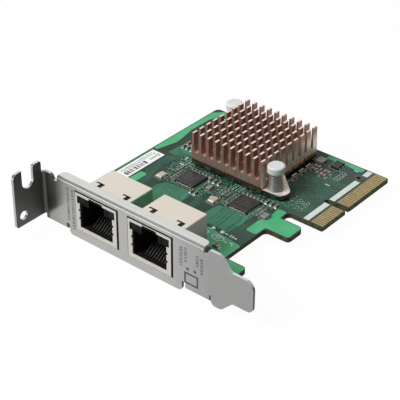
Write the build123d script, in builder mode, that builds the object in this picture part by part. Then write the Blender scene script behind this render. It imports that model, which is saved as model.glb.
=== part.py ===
from build123d import *
import os

# Low-profile network card with two jacks, lying with its parts upwards.
# X runs along the bracket from the outer face of its mounting tab to its tail,
# Y runs back from the bracket's front face, and Z rises from the bracket's lower edge.

os.makedirs("parts", exist_ok=True)

# Bracket sheet and its outline
sheet = 0.86
bracket_length = 78.8
flange_gap = 2.42
foot_rise = 0.4
tail_low = 4.25
tail_high = 14.4
tab_reach = 12.0
tab_low = 3.5
tab_bend = 1.0
shoulder_drop = 0.32
prong_height = 21.9
screw_slot_width = 4.42
screw_slot_centre = -6.5
screw_slot_floor = 15.2
tab_hole_radius = 1.45
tab_hole_y = -9.0
tab_hole_z = 6.85
flange_start = 6.1
flange_end = 61.7
flange_reach = 3.35
flange_corner = 1.6
fold_bend = 0.3
fold_drop = 1.0
fold_reach = 9.6
fold_round = 1.2
fold_relief = 1.2
left_fold_start = 0.9
left_fold_end = 9.3
right_fold_start = 55.2
right_fold_end = 63.8
notch_width = 1.7
notch_depth = 0.45

# Circuit board
board_gap = 1.04
board_thickness = 1.57
board_side = 0.1
card_height = 68.95
board_depth = 79.75
board_corner = 1.6
edge_tab_start = 44.55
key_notch_start = 56.2
key_notch_width = 1.9
key_notch_end = 60.6
connector_gap = 3.8
connector_gap_end = 56.2
hook_end = 64.5
hook_width = 7.3
waist = 56.1
lobe_end = 64.1
lobe_width = 14.55
bevel_run = 0.55
bevel_rise = 0.48
pad_pitch = 1.0
pad_width = 0.7
pad_length = 4.3
pad_thickness = 0.06
front_pad_count = 11
rear_pad_count = 21

# Jacks
jack_centre = 21.5
jack_pitch = 20.5
shield_width = 16.1
shield_depth = 15.6
shield_sheet = 0.25
shield_lip = 0.43
panel_gap = 0.15
panel_gap_side = 0.8
panel_gap_top = 0.6
jack_clearance = 0.05
port_floor = 0.8
port_width = 12.8
port_step = 8.9
port_upper_width = 14.7
port_height = 11.6
port_roof = 0.97
latch_slot_width = 5.4
latch_slot_rise = 0.5
cavity_width = 11.9
cavity_depth = 12.0
contact_pitch = 1.016
contact_width = 0.4
contact_thickness = 0.2
contact_count = 8
peg_radius = 1.6
peg_spacing = 11.4
peg_depth = 9.0

# Heatsink and what it cools
heatsink_x = 30.65
heatsink_y = 62.45
fin_pitch = 2.98
fin_count = 10
fin_thickness = 0.9
channel_flare = 0.1
channel_round_steps = 3
cut_pitch = 3.3
cut_count = 8
cut_width = 1.35
cut_taper = 0.7
cut_floor = 3.67
fin_draft = 1.7
heatsink_depth = 28.7
heatsink_height = 11.12
base_thickness = 4.37
ear_radius = 3.1
ear_thickness = 1.45
ear_reach = 1.65
ear_root = 4.2
ear_root_rear = 11.4
ear_root_round = 0.8
front_pin_offset = (16.6, -10.8)
rear_pin_offset = (-17.1, 11.2)
controller_side = 21.0
controller_height = 0.7
carrier_thickness = 0.35
carrier_rim = 0.5
thermal_pad_side = 19.0
thermal_pad_thickness = 0.2

# Push pins
pin_shaft_radius = 1.3
pin_hole_radius = 1.5
pin_head_radius = 2.8
pin_head_height = 2.9
spring_length = 5.47
spring_radius = 1.85
spring_wire = 0.28
spring_turns = 4.0
barb_radius = 1.95
barb_length = 2.5

# Derived places
board_front = sheet + board_gap
board_bottom = fold_drop + sheet
board_top = board_bottom + board_thickness
board_rear = board_front + board_depth
heatsink_bottom = board_top + controller_height + thermal_pad_thickness
heatsink_width = (fin_count - 1) * fin_pitch + fin_thickness
shield_height = port_height + port_roof
shield_top = board_top + shield_height
bracket_height = shield_top + flange_gap
shoulder_height = bracket_height - shoulder_drop
jacks = {"left": jack_centre, "right": jack_centre + jack_pitch}
pins = {
    "front": (heatsink_x + front_pin_offset[0], heatsink_y + front_pin_offset[1]),
    "rear": (heatsink_x + rear_pin_offset[0], heatsink_y + rear_pin_offset[1]),
}
screw_y = 6.6
screw_places = {
    "left": ((left_fold_start + left_fold_end) / 2, screw_y),
    "right": ((right_fold_start + right_fold_end) / 2, screw_y),
}
screw_radius = 1.25
screw_clearance = 0.05
screw_head_radius = 2.4
screw_head_height = 1.5
drive_depth = 0.9
drive_width = 0.6


# Bracket: one folded sheet with a mounting tab, a top flange and two lower folds
fold_corner = fold_bend + sheet
plate_start = sheet + tab_bend
flange_join = bracket_height - fold_corner - 0.4
notch_floor = flange_join - notch_depth
belly_start = left_fold_end + fold_relief
belly_end = right_fold_start - fold_relief
tail_start = right_fold_end + fold_relief / 2
tail_room = bracket_length - tail_start
tail_round = tail_room / 6

with BuildPart() as bracket:
    with BuildSketch(Plane.XZ):
        with BuildLine():
            FilletPolyline(
                (plate_start, tab_low),
                (belly_start, tab_low),
                (belly_start, 0),
                (belly_end, 0),
                (belly_end, tab_low),
                (tail_start, tab_low),
                (tail_start, foot_rise),
                (bracket_length - 0.75 * tail_room, foot_rise),
                (bracket_length - 0.48 * tail_room, tail_low),
                (bracket_length, tail_low),
                (bracket_length, tail_high),
                (bracket_length - 0.53 * tail_room, tail_high),
                (bracket_length - 0.77 * tail_room, bracket_height),
                (flange_end + notch_width, bracket_height),
                (flange_end + notch_width, notch_floor),
                (flange_end, notch_floor),
                (flange_end, flange_join),
                (flange_start, flange_join),
                (flange_start, notch_floor),
                (flange_start - notch_width, notch_floor),
                (flange_start - notch_width, shoulder_height),
                (plate_start, shoulder_height),
                radius=[
                    0, 0.4, 1.2, 1.5, 0.3, 0.3, 0.6 * tail_round, 0.9 * tail_round, tail_round / 2,
                    0.8 * tail_round, 1.2 * tail_round, 0.8 * tail_round, 0.9 * tail_round,
                    0.7, 0.7, 0.2, 0, 0, 0.2, 0.7, 1.3, 0,
                ],
                close=True,
            )
        make_face()
    extrude(amount=-sheet)

    # Bend to the mounting tab, then the tab with its open screw slot
    with BuildSketch(Plane.XY.offset(tab_low)):
        with Locations((plate_start, -tab_bend)):
            Circle(tab_bend + sheet)
            Circle(tab_bend, mode=Mode.SUBTRACT)
        with Locations((plate_start, -tab_bend)):
            Rectangle(tab_bend + sheet, tab_bend + sheet, align=(Align.MAX, Align.MIN), mode=Mode.INTERSECT)
    extrude(amount=shoulder_height - tab_low)
    with BuildSketch(Plane.YZ):
        with BuildLine():
            FilletPolyline(
                (-tab_bend, tab_low),
                (-tab_reach, tab_low),
                (-tab_reach, prong_height),
                (-tab_bend, prong_height),
                radius=[0.9, 1.8],
            )
            Line((-tab_bend, prong_height), (-tab_bend, tab_low))
        make_face()
        with Locations((screw_slot_centre, screw_slot_floor + screw_slot_width / 2)):
            Circle(screw_slot_width / 2, mode=Mode.SUBTRACT)
            Rectangle(screw_slot_width, prong_height, align=(Align.CENTER, Align.MIN), mode=Mode.SUBTRACT)
        with Locations((tab_hole_y, tab_hole_z)):
            Circle(tab_hole_radius, mode=Mode.SUBTRACT)
    extrude(amount=sheet)
    fillet(
        bracket.edges().filter_by(Axis.X).group_by(Axis.Z)[-1].filter_by(
            lambda edge: edge.center().Y > screw_slot_centre
        ),
        radius=0.9,
    )

    # Lower folds that run back under the board
    for fold_start, fold_end in ((left_fold_start, left_fold_end), (right_fold_start, right_fold_end)):
        with BuildSketch(Plane.YZ.offset(fold_start)):
            with BuildLine():
                FilletPolyline(
                    (0, tab_low),
                    (0, fold_drop),
                    (fold_reach, fold_drop),
                    (fold_reach, fold_drop + sheet),
                    (sheet, fold_drop + sheet),
                    (sheet, tab_low),
                    radius=[0, fold_corner, 0, 0, fold_bend, 0],
                    close=True,
                )
            make_face()
        extrude(amount=fold_end - fold_start)
    fillet(
        bracket.edges().filter_by(Axis.Z).group_by(Axis.Y)[-1],
        radius=fold_round,
    )

    # Top flange
    with BuildSketch(Plane.YZ.offset(flange_start)):
        with BuildLine():
            FilletPolyline(
                (0, flange_join),
                (0, bracket_height),
                (flange_reach, bracket_height),
                (flange_reach, bracket_height - sheet),
                (sheet, bracket_height - sheet),
                (sheet, flange_join),
                radius=[0, fold_corner, 0, 0, fold_bend, 0],
                close=True,
            )
        make_face()
    extrude(amount=flange_end - flange_start)
    flange_corners = bracket.edges().filter_by(Axis.Z).filter_by(
        lambda edge: edge.center().Z > flange_join and abs(edge.center().Y - flange_reach) < 0.1
    )
    fillet(flange_corners, radius=flange_corner)

    # Openings for the two jacks and the holes in the lower folds
    with BuildSketch(Plane.XZ):
        for centre in jacks.values():
            with Locations((centre - shield_width / 2 - panel_gap, board_top - shield_lip - panel_gap)):
                RectangleRounded(
                    shield_width + panel_gap + panel_gap_side,
                    shield_height + shield_lip + panel_gap + panel_gap_top,
                    radius=0.3,
                    align=(Align.MIN, Align.MIN),
                )
    extrude(amount=-sheet, mode=Mode.SUBTRACT)
    with BuildSketch(Plane.XY.offset(fold_drop)):
        with Locations(*screw_places.values()):
            Circle(screw_radius + screw_clearance)
    extrude(amount=sheet, mode=Mode.SUBTRACT)

bracket.part.label = "bracket"
export_step(bracket.part, "parts/bracket.step")


# Circuit board: hook, key notch and bevelled connector edge in one outline
edge_tab = board_front + edge_tab_start
key_front = board_front + key_notch_start
key_rear = key_front + key_notch_width
hook_rear = edge_tab - connector_gap
hook_front = hook_rear - hook_width
lobe_rear = board_front + lobe_width
key_round = key_notch_width / 2 - 0.01
locating_hole = (61.5, 76.0)
locating_hole_radius = 0.7

with BuildPart() as circuit_board:
    with BuildSketch(Plane.XY.offset(board_bottom)):
        with BuildLine():
            FilletPolyline(
                (board_side, board_front),
                (lobe_end, board_front),
                (lobe_end, lobe_rear),
                (waist, lobe_rear),
                (waist, hook_front),
                (hook_end, hook_front),
                (hook_end, hook_rear),
                (connector_gap_end, hook_rear),
                (connector_gap_end, edge_tab),
                (card_height, edge_tab),
                (card_height, key_front),
                (key_notch_end, key_front),
                (key_notch_end, key_rear),
                (card_height, key_rear),
                (card_height, board_rear),
                (board_side, board_rear),
                radius=[
                    1.0, 1.5, 1.5, 1.5, 1.6, 1.3, 1.7, 1.5,
                    1.5, 0.8, 0.6, key_round, key_round, 0.6, 1.0, board_corner,
                ],
                close=True,
            )
        make_face()
        with Locations(*pins.values()):
            Circle(pin_hole_radius, mode=Mode.SUBTRACT)
        with Locations(*screw_places.values()):
            Circle(screw_radius + 4 * screw_clearance, mode=Mode.SUBTRACT)
        with Locations(locating_hole):
            Circle(locating_hole_radius, mode=Mode.SUBTRACT)
        for centre in jacks.values():
            with Locations((centre, peg_depth)):
                with GridLocations(peg_spacing, 0, 2, 1):
                    Circle(peg_radius + jack_clearance, mode=Mode.SUBTRACT)
    extrude(amount=board_thickness)

    # Bevel on both faces of the connector's nose
    with BuildSketch(Plane.XZ.offset(-board_rear)):
        for face_z, way in ((board_top, -1), (board_bottom, 1)):
            with BuildLine():
                Polyline(
                    (card_height - bevel_run, face_z),
                    (card_height + bevel_run, face_z),
                    (card_height + bevel_run, face_z + way * 2 * bevel_rise),
                    close=True,
                )
            make_face()
    extrude(amount=board_rear - edge_tab, mode=Mode.SUBTRACT)

circuit_board.part.label = "circuit_board"
export_step(circuit_board.part, "parts/circuit_board.step")


# Gold contact pads on both faces of the connector edge
pad_x = card_height - bevel_run - pad_length / 2
front_pads_y = edge_tab + (key_front - edge_tab) / 2
rear_pads_y = key_rear + (board_rear - key_rear) / 2

for face, pad_z in (("top", board_top), ("bottom", board_bottom - pad_thickness)):
    with BuildPart() as edge_pads:
        with BuildSketch(Plane.XY.offset(pad_z)):
            with Locations((pad_x, front_pads_y)):
                with GridLocations(0, pad_pitch, 1, front_pad_count):
                    Rectangle(pad_length, pad_width)
            with Locations((pad_x, rear_pads_y)):
                with GridLocations(0, pad_pitch, 1, rear_pad_count):
                    Rectangle(pad_length, pad_width)
        extrude(amount=pad_thickness)
    edge_pads.part.label = f"{face}_edge_pads"
    export_step(edge_pads.part, f"parts/{face}_edge_pads.step")


# Two pan-head screws that hold the board on the bracket's folds
with BuildPart() as bracket_screws:
    with BuildSketch(Plane.XY.offset(fold_drop)):
        with Locations(*screw_places.values()):
            Circle(screw_radius)
    extrude(amount=sheet + board_thickness)
    with BuildSketch(Plane.XY.offset(board_top)):
        with Locations(*screw_places.values()):
            Circle(screw_head_radius)
    extrude(amount=screw_head_height)
    chamfer(bracket_screws.edges().filter_by(GeomType.CIRCLE).group_by(Axis.Z)[-1], length=0.7, length2=0.5)
    with BuildSketch(Plane.XY.offset(board_top + screw_head_height)):
        with Locations(*screw_places.values()):
            Rectangle(screw_head_radius, drive_width)
            Rectangle(drive_width, screw_head_radius)
    extrude(amount=-drive_depth, mode=Mode.SUBTRACT)

bracket_screws.part.label = "bracket_screws"
export_step(bracket_screws.part, "parts/bracket_screws.step")


# Jacks: a sheet shield, a moulded insert, spring contacts, light pipes and soldered tails
spring_window_x = 5.15
spring_window_y = 7.4
spring_window_width = 1.5
spring_window_depth = 1.7
window_notch = 0.8
grip_width = 0.4
grip_height = 0.9
insert_width = shield_width - 2 * (shield_sheet + jack_clearance)
insert_height = shield_height - shield_sheet - jack_clearance
insert_front = shield_sheet + jack_clearance
insert_depth = shield_depth - 2 * insert_front
cavity_floor = board_top + port_floor + 0.1
cavity_top = board_top + port_step - 0.1
latch_top = board_top + port_height + latch_slot_rise - 0.2
latch_width = latch_slot_width + 0.6
light_pipe_width = 2.9
light_pipe_height = 2.2
light_pipe_depth = 9.0
light_pipe_x = port_upper_width / 2 - light_pipe_width / 2 - 0.1
light_pipe_z = port_height - 0.1 - light_pipe_height
light_pipe_places = [(-light_pipe_x, light_pipe_z), (light_pipe_x, light_pipe_z)]
contact_bed = 0.4
contact_front = 1.3
contact_knee = 2.1
contact_end = 6.8
contact_rise = 3.0
tail_rows = (11.9, 14.4)
tail_pitch = 2.54
tail_count = 6
tail_side = 0.42
tail_length = 1.5
fillet_radius = 0.75
fillet_height = 0.7
contact_span = (contact_count - 1) * contact_pitch + contact_width

for side, centre in jacks.items():
    front_plane = Plane(origin=(centre, 0, board_top), x_dir=(1, 0, 0), z_dir=(0, -1, 0))

    with BuildPart() as shield:
        with BuildSketch(Plane((centre, 0, board_top))):
            Rectangle(shield_width, shield_depth, align=(Align.CENTER, Align.MIN))
        extrude(amount=shield_height)
        fillet(shield.edges().filter_by(Axis.Y).group_by(Axis.Z)[-1], radius=0.4)
        offset(amount=-shield_sheet, openings=shield.faces().sort_by(Axis.Z)[0])
        with BuildSketch(front_plane):
            Rectangle(shield_width, shield_lip, align=(Align.CENTER, Align.MAX))
        extrude(amount=-shield_sheet)
        with BuildSketch(front_plane):
            with Locations((0, port_floor)):
                Rectangle(port_width, port_step - port_floor, align=(Align.CENTER, Align.MIN))
            with Locations((0, port_step)):
                Rectangle(port_upper_width, port_height - port_step, align=(Align.CENTER, Align.MIN))
            with Locations((0, port_height)):
                Rectangle(latch_slot_width, 2 * latch_slot_rise)
            with Locations((0, 0.75 * port_step), (0, 0.44 * port_step)):
                Rectangle(port_width + 2 * grip_width, grip_height)
        extrude(amount=-shield_sheet, mode=Mode.SUBTRACT)
        with BuildSketch(Plane((centre, spring_window_y, shield_top))):
            with Locations((-spring_window_x, 0), (spring_window_x, 0)):
                Rectangle(spring_window_width, spring_window_depth)
                with Locations((-spring_window_width / 2, spring_window_depth / 2)):
                    Rectangle(2 * window_notch, window_notch, align=(Align.CENTER, Align.MAX))
        extrude(amount=-shield_sheet, mode=Mode.SUBTRACT)
    shield.part.label = f"{side}_jack_shield"
    export_step(shield.part, f"parts/{side}_jack_shield.step")

    with BuildPart() as insert:
        with BuildSketch(Plane((centre, insert_front, board_top))):
            Rectangle(insert_width, insert_depth, align=(Align.CENTER, Align.MIN))
        extrude(amount=insert_height)
        with BuildSketch(front_plane.offset(-insert_front)):
            with Locations((0, cavity_floor - board_top)):
                Rectangle(cavity_width, cavity_top - cavity_floor, align=(Align.CENTER, Align.MIN))
            with Locations((0, cavity_top - board_top)):
                Rectangle(latch_width, latch_top - cavity_top, align=(Align.CENTER, Align.MIN))
        extrude(amount=-cavity_depth, mode=Mode.SUBTRACT)
        with BuildSketch(front_plane.offset(-insert_front)):
            with Locations(*light_pipe_places):
                Rectangle(
                    light_pipe_width + 2 * jack_clearance,
                    light_pipe_height + jack_clearance,
                    align=(Align.CENTER, Align.MIN),
                )
        extrude(amount=-(light_pipe_depth + jack_clearance), mode=Mode.SUBTRACT)
        with BuildSketch(Plane((centre, contact_front - 0.2, cavity_floor))):
            Rectangle(
                contact_span + 0.6,
                contact_end - contact_front + 0.6,
                align=(Align.CENTER, Align.MIN),
            )
        extrude(amount=-contact_bed, mode=Mode.SUBTRACT)
        with BuildSketch(Plane((centre, peg_depth, board_top))):
            with GridLocations(peg_spacing, 0, 2, 1):
                Circle(peg_radius)
        extrude(amount=-(board_thickness + 0.9))
        chamfer(insert.faces().sort_by(Axis.Z)[0:2].edges(), length=0.5)
    insert.part.label = f"{side}_jack_insert"
    export_step(insert.part, f"parts/{side}_jack_insert.step")

    with BuildPart() as contacts:
        bed_z = cavity_floor - contact_bed
        for number in range(contact_count):
            contact_x = centre - contact_span / 2 + number * contact_pitch
            with BuildSketch(Plane.YZ.offset(contact_x)):
                with BuildLine():
                    FilletPolyline(
                        (contact_front, bed_z),
                        (contact_knee, bed_z),
                        (contact_end, bed_z + contact_rise),
                        (contact_end, bed_z + contact_rise + contact_thickness),
                        (contact_knee, bed_z + contact_thickness),
                        (contact_front, bed_z + contact_thickness),
                        radius=[0, 1.2, 0, 0, 1.0, 0],
                        close=True,
                    )
                make_face()
            extrude(amount=contact_width)
    contacts.part.label = f"{side}_jack_contacts"
    export_step(contacts.part, f"parts/{side}_jack_contacts.step")

    with BuildPart() as light_pipes:
        with BuildSketch(front_plane.offset(-insert_front)):
            with Locations(*light_pipe_places):
                Rectangle(light_pipe_width, light_pipe_height, align=(Align.CENTER, Align.MIN))
        extrude(amount=-light_pipe_depth)
        chamfer(light_pipes.edges().group_by(Axis.Y)[0], length=0.2)
    light_pipes.part.label = f"{side}_light_pipes"
    export_step(light_pipes.part, f"parts/{side}_light_pipes.step")

    with BuildPart() as solder_tails:
        for row, row_y in enumerate(tail_rows):
            row_x = centre + (row - 0.5) * tail_pitch / 2
            with BuildSketch(Plane.XY.offset(board_bottom)):
                with Locations((row_x, row_y)):
                    with GridLocations(tail_pitch, 0, tail_count, 1):
                        RegularPolygon(radius=fillet_radius, side_count=6)
            extrude(amount=-fillet_height, taper=35)
            with BuildSketch(Plane.XY.offset(board_bottom)):
                with Locations((row_x, row_y)):
                    with GridLocations(tail_pitch, 0, tail_count, 1):
                        Rectangle(tail_side, tail_side)
            extrude(amount=-tail_length)
    solder_tails.part.label = f"{side}_solder_tails"
    export_step(solder_tails.part, f"parts/{side}_solder_tails.step")


# Heatsink: one block with round-bottomed channels, cross cuts and two ears
channel_width = fin_pitch - fin_thickness
channel_top = heatsink_bottom + heatsink_height
channel_bottom = heatsink_bottom + base_thickness

channel_round = channel_width / 2
round_step = 90 / channel_round_steps

with BuildSketch() as channel:
    with BuildLine():
        round_centre = Vector(0, channel_bottom + channel_round)
        round_start = Vector(-channel_round, 0)
        rounded_floor = [
            round_centre + round_start.rotate(Axis.Z, step * round_step)
            for step in range(2 * channel_round_steps + 1)
        ]
        Polyline(
            (-channel_width / 2 - channel_flare, channel_top),
            *rounded_floor,
            (channel_width / 2 + channel_flare, channel_top),
            close=True,
        )
    make_face()

with BuildPart() as heatsink:
    with BuildSketch(Plane.XY.offset(heatsink_bottom)):
        with Locations((heatsink_x, heatsink_y)):
            Rectangle(heatsink_width, heatsink_depth)
    extrude(amount=base_thickness)
    with BuildSketch(Plane.XY.offset(channel_bottom)):
        with Locations((heatsink_x, heatsink_y)):
            Rectangle(heatsink_width, heatsink_depth)
    extrude(amount=heatsink_height - base_thickness, taper=fin_draft)
    with BuildSketch(Plane.XZ.offset(-(heatsink_y + heatsink_depth / 2))):
        with Locations((heatsink_x, 0)):
            with GridLocations(fin_pitch, 0, fin_count - 1, 1):
                add(channel.sketch)
    extrude(amount=heatsink_depth, mode=Mode.SUBTRACT)
    with BuildSketch(Plane.XY.offset(channel_top)):
        with Locations((heatsink_x, heatsink_y)):
            with GridLocations(0, cut_pitch, 1, cut_count):
                Rectangle(heatsink_width + cut_pitch, cut_width)
    extrude(amount=-(heatsink_height - cut_floor), taper=cut_taper, mode=Mode.SUBTRACT)
    for way, (ear_x, ear_y) in zip((1, -1), pins.values()):
        corner_x = heatsink_x + way * heatsink_width / 2
        corner_y = heatsink_y - way * heatsink_depth / 2
        with BuildSketch(Plane.XY.offset(heatsink_bottom)):
            with Locations((ear_x + way * ear_reach, ear_y)):
                Circle(ear_radius)
            with Locations(
                (corner_x - way * ear_root, corner_y + way * ear_root_round),
                (corner_x - way * ear_root_round, corner_y + way * ear_root_rear),
            ):
                Circle(ear_root_round)
            make_hull()
        extrude(amount=ear_thickness)
    with BuildSketch(Plane.XY.offset(heatsink_bottom)):
        with Locations(*pins.values()):
            Circle(pin_hole_radius)
    extrude(amount=ear_thickness, mode=Mode.SUBTRACT)

heatsink.part.label = "heatsink"
export_step(heatsink.part, "parts/heatsink.step")


# Controller package and the pad that joins it to the heatsink
with BuildPart() as controller_chip:
    with BuildSketch(Plane.XY.offset(board_top)):
        with Locations((heatsink_x, heatsink_y)):
            Rectangle(controller_side, controller_side)
    extrude(amount=carrier_thickness)
    with BuildSketch(Plane.XY.offset(board_top + carrier_thickness)):
        with Locations((heatsink_x, heatsink_y)):
            Rectangle(controller_side - 2 * carrier_rim, controller_side - 2 * carrier_rim)
    extrude(amount=controller_height - carrier_thickness, taper=12)

controller_chip.part.label = "controller_chip"
export_step(controller_chip.part, "parts/controller_chip.step")

with BuildPart() as thermal_pad:
    with BuildSketch(Plane.XY.offset(board_top + controller_height)):
        with Locations((heatsink_x, heatsink_y)):
            Rectangle(thermal_pad_side, thermal_pad_side)
    extrude(amount=thermal_pad_thickness)

thermal_pad.part.label = "thermal_pad"
export_step(thermal_pad.part, "parts/thermal_pad.step")


# Push pins: mushroom head, shaft through ear and board, split barb below
ear_top = heatsink_bottom + ear_thickness
head_bottom = ear_top + spring_length
barb_slot = 0.7

for place, (pin_x, pin_y) in pins.items():
    pin_plane = Plane(origin=(pin_x, pin_y, 0), x_dir=(1, 0, 0), z_dir=(0, -1, 0))

    with BuildPart() as push_pin:
        with BuildSketch(pin_plane):
            with BuildLine():
                FilletPolyline(
                    (0, head_bottom + pin_head_height),
                    (pin_head_radius, head_bottom + pin_head_height),
                    (pin_head_radius, head_bottom),
                    (pin_shaft_radius, head_bottom),
                    (pin_shaft_radius, board_bottom),
                    (barb_radius, board_bottom),
                    (pin_shaft_radius - 0.4, board_bottom - barb_length),
                    (0, board_bottom - barb_length),
                    radius=[0, 0.6, 1.0, 0, 0, 0, 0, 0],
                    close=True,
                )
            make_face()
        revolve(axis=Axis((pin_x, pin_y, 0), (0, 0, 1)))
        with BuildSketch(Plane.XY.offset(board_bottom - barb_length)):
            with Locations((pin_x, pin_y)):
                Rectangle(barb_slot, 2 * barb_radius)
        extrude(amount=barb_length + board_thickness, mode=Mode.SUBTRACT)
    push_pin.part.label = f"{place}_push_pin"
    export_step(push_pin.part, f"parts/{place}_push_pin.step")

    with BuildPart() as pin_spring:
        with BuildLine():
            Helix(
                pitch=(spring_length - 2.2 * spring_wire) / spring_turns,
                height=spring_length - 2.2 * spring_wire,
                radius=spring_radius,
                center=(pin_x, pin_y, ear_top + 1.1 * spring_wire),
            )
        wire_start = (pin_x + spring_radius, pin_y, ear_top + 1.1 * spring_wire)
        with BuildSketch(Plane(origin=wire_start, z_dir=(0, 1, 0))):
            RegularPolygon(radius=spring_wire, side_count=6)
        sweep(is_frenet=True)
    pin_spring.part.label = f"{place}_pin_spring"
    export_step(pin_spring.part, f"parts/{place}_pin_spring.step")


# Two flat network chips and their crystals
network_chip_side = 7.3
network_chip_height = 0.95
crystal_width = 2.4
crystal_length = 3.2
crystal_height = 0.75
crystal_step = 0.15
mark_offset = network_chip_side / 2 - 1.0
mark_radius = 0.35
mark_depth = 0.08

for side, chip_place, crystal_place in (
    ("left", (22.4, 41.4), (13.65, 37.4)),
    ("right", (43.7, 41.1), (34.95, 36.9)),
):
    with BuildPart() as network_chip:
        with BuildSketch(Plane.XY.offset(board_top)):
            with Locations(chip_place):
                Rectangle(network_chip_side, network_chip_side)
        extrude(amount=network_chip_height)
        chamfer(network_chip.edges().group_by(Axis.Z)[-1], length=0.12)
        with BuildSketch(Plane.XY.offset(board_top + network_chip_height)):
            with Locations((chip_place[0] - mark_offset, chip_place[1] + mark_offset)):
                Circle(mark_radius)
        extrude(amount=-mark_depth, mode=Mode.SUBTRACT)
    network_chip.part.label = f"{side}_network_chip"
    export_step(network_chip.part, f"parts/{side}_network_chip.step")

    with BuildPart() as crystal:
        with BuildSketch(Plane.XY.offset(board_top)):
            with Locations(crystal_place):
                Rectangle(crystal_width, crystal_length)
        extrude(amount=crystal_height / 2)
        with BuildSketch(Plane.XY.offset(board_top + crystal_height / 2)):
            with Locations(crystal_place):
                Rectangle(crystal_width - 2 * crystal_step, crystal_length - 2 * crystal_step)
        extrude(amount=crystal_height / 2)
        chamfer(crystal.edges().group_by(Axis.Z)[-1], length=0.12)
    crystal.part.label = f"{side}_crystal"
    export_step(crystal.part, f"parts/{side}_crystal.step")


# Memory chip with bent leads
memory_x = 52.6
memory_y = 77.1
memory_width = 3.0
memory_length = 3.6
memory_height = 1.1
memory_standoff = 0.1
lead_pitch = 0.9
lead_width = 0.38
lead_thickness = 0.15
lead_reach = 0.95

with BuildPart() as memory_chip:
    with BuildSketch(Plane.XY.offset(board_top + memory_standoff)):
        with Locations((memory_x, memory_y)):
            Rectangle(memory_width, memory_length)
    extrude(amount=memory_height)
    chamfer(memory_chip.edges().group_by(Axis.Z)[-1], length=0.15)

memory_chip.part.label = "memory_chip"
export_step(memory_chip.part, "parts/memory_chip.step")

with BuildPart() as memory_leads:
    lead_mid = board_top + memory_standoff + memory_height / 2
    for way in (-1, 1):
        body_side = memory_x + way * memory_width / 2
        foot_end = body_side + way * lead_reach
        foot_start = body_side + way * 0.35
        with BuildSketch(Plane.XZ.offset(-(memory_y - 1.5 * lead_pitch - lead_width / 2))):
            with BuildLine():
                Polyline(
                    (body_side, lead_mid),
                    (foot_start + way * lead_thickness, lead_mid),
                    (foot_start + way * lead_thickness, board_top + lead_thickness),
                    (foot_end, board_top + lead_thickness),
                    (foot_end, board_top),
                    (foot_start, board_top),
                    (foot_start, lead_mid - lead_thickness),
                    (body_side, lead_mid - lead_thickness),
                    close=True,
                )
            make_face()
        first_lead = extrude(amount=-lead_width, mode=Mode.PRIVATE)
        with GridLocations(1, lead_pitch, 1, 4):
            add(first_lead.moved(Location((0, 1.5 * lead_pitch, 0))))

memory_leads.part.label = "memory_leads"
export_step(memory_leads.part, "parts/memory_leads.step")


# Inductors: a low square body with a pressed rim
def inductor(place, width, length, height):
    with BuildPart() as body:
        with BuildSketch(Plane.XY.offset(board_top)):
            with Locations(place):
                Rectangle(width, length)
        extrude(amount=height)
        chamfer(body.edges().filter_by(Axis.Z), length=0.12 * width)
        chamfer(body.edges().group_by(Axis.Z)[-1], length=0.1)
    return body


power_inductor = inductor((47.45, 75.45), 2.7, 3.1, 1.6)
power_inductor.part.label = "power_inductor"
export_step(power_inductor.part, "parts/power_inductor.step")

core_inductor = inductor((30.15, 40.85), 1.7, 2.1, 1.2)
core_inductor.part.label = "core_inductor"
export_step(core_inductor.part, "parts/core_inductor.step")

edge_inductor = inductor((52.45, 39.8), 2.2, 2.5, 1.0)
edge_inductor.part.label = "edge_inductor"
export_step(edge_inductor.part, "parts/edge_inductor.step")


# Small two-ended parts: a body between two thicker ends
def two_ended(length, width, height):
    end_length = 0.22 * length
    waist_drop = 0.08 * height
    with BuildPart() as small_part:
        with BuildSketch(Plane.XZ.offset(-width / 2)):
            with BuildLine():
                Polyline(
                    (-length / 2, 0),
                    (length / 2, 0),
                    (length / 2, height),
                    (length / 2 - end_length, height),
                    (length / 2 - end_length, height - waist_drop),
                    (end_length - length / 2, height - waist_drop),
                    (end_length - length / 2, height),
                    (-length / 2, height),
                    close=True,
                )
            make_face()
        extrude(amount=width)
    return small_part.part


def rows(part, turn, grids):
    # each grid: centre, pitch in x and y, count in x and y
    with BuildPart() as group:
        for centre_x, centre_y, pitch_x, pitch_y, count_x, count_y in grids:
            with Locations((centre_x, centre_y, board_top)):
                with GridLocations(pitch_x, pitch_y, count_x, count_y):
                    add(part.rotate(Axis.Z, turn))
    return group


tiny_part = two_ended(1.0, 0.5, 0.4)
small_part = two_ended(1.6, 0.8, 0.75)
large_part = two_ended(2.0, 1.25, 1.0)

ceramic_capacitors = rows(
    small_part,
    90,
    [
        (46.3, 63.6, 0, 2.3, 1, 8),
        (9.4, 56.4, 1.7, 2.4, 3, 2),
        (49.9, 46.6, 1.8, 0, 3, 1),
        (27.6, 36.4, 1.7, 0, 2, 1),
        (28.8, 45.2, 1.8, 0, 3, 1),
    ],
)
ceramic_capacitors.part.label = "ceramic_capacitors"
export_step(ceramic_capacitors.part, "parts/ceramic_capacitors.step")

bulk_capacitors = rows(
    large_part,
    0,
    [(52.3, 70.6, 0, 2.2, 1, 2), (48.2, 71.6, 0, 1.9, 1, 2), (50.9, 18.7, 0, 0, 1, 1)],
)
bulk_capacitors.part.label = "bulk_capacitors"
export_step(bulk_capacitors.part, "parts/bulk_capacitors.step")

filter_capacitors = rows(
    tiny_part,
    90,
    [
        (30.65, 50.2, 1.5, 0, 15, 1),
        (22.4, 46.6, 1.4, 0, 6, 1),
        (43.0, 46.4, 1.4, 0, 6, 1),
    ],
)
filter_capacitors.part.label = "filter_capacitors"
export_step(filter_capacitors.part, "parts/filter_capacitors.step")

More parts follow.
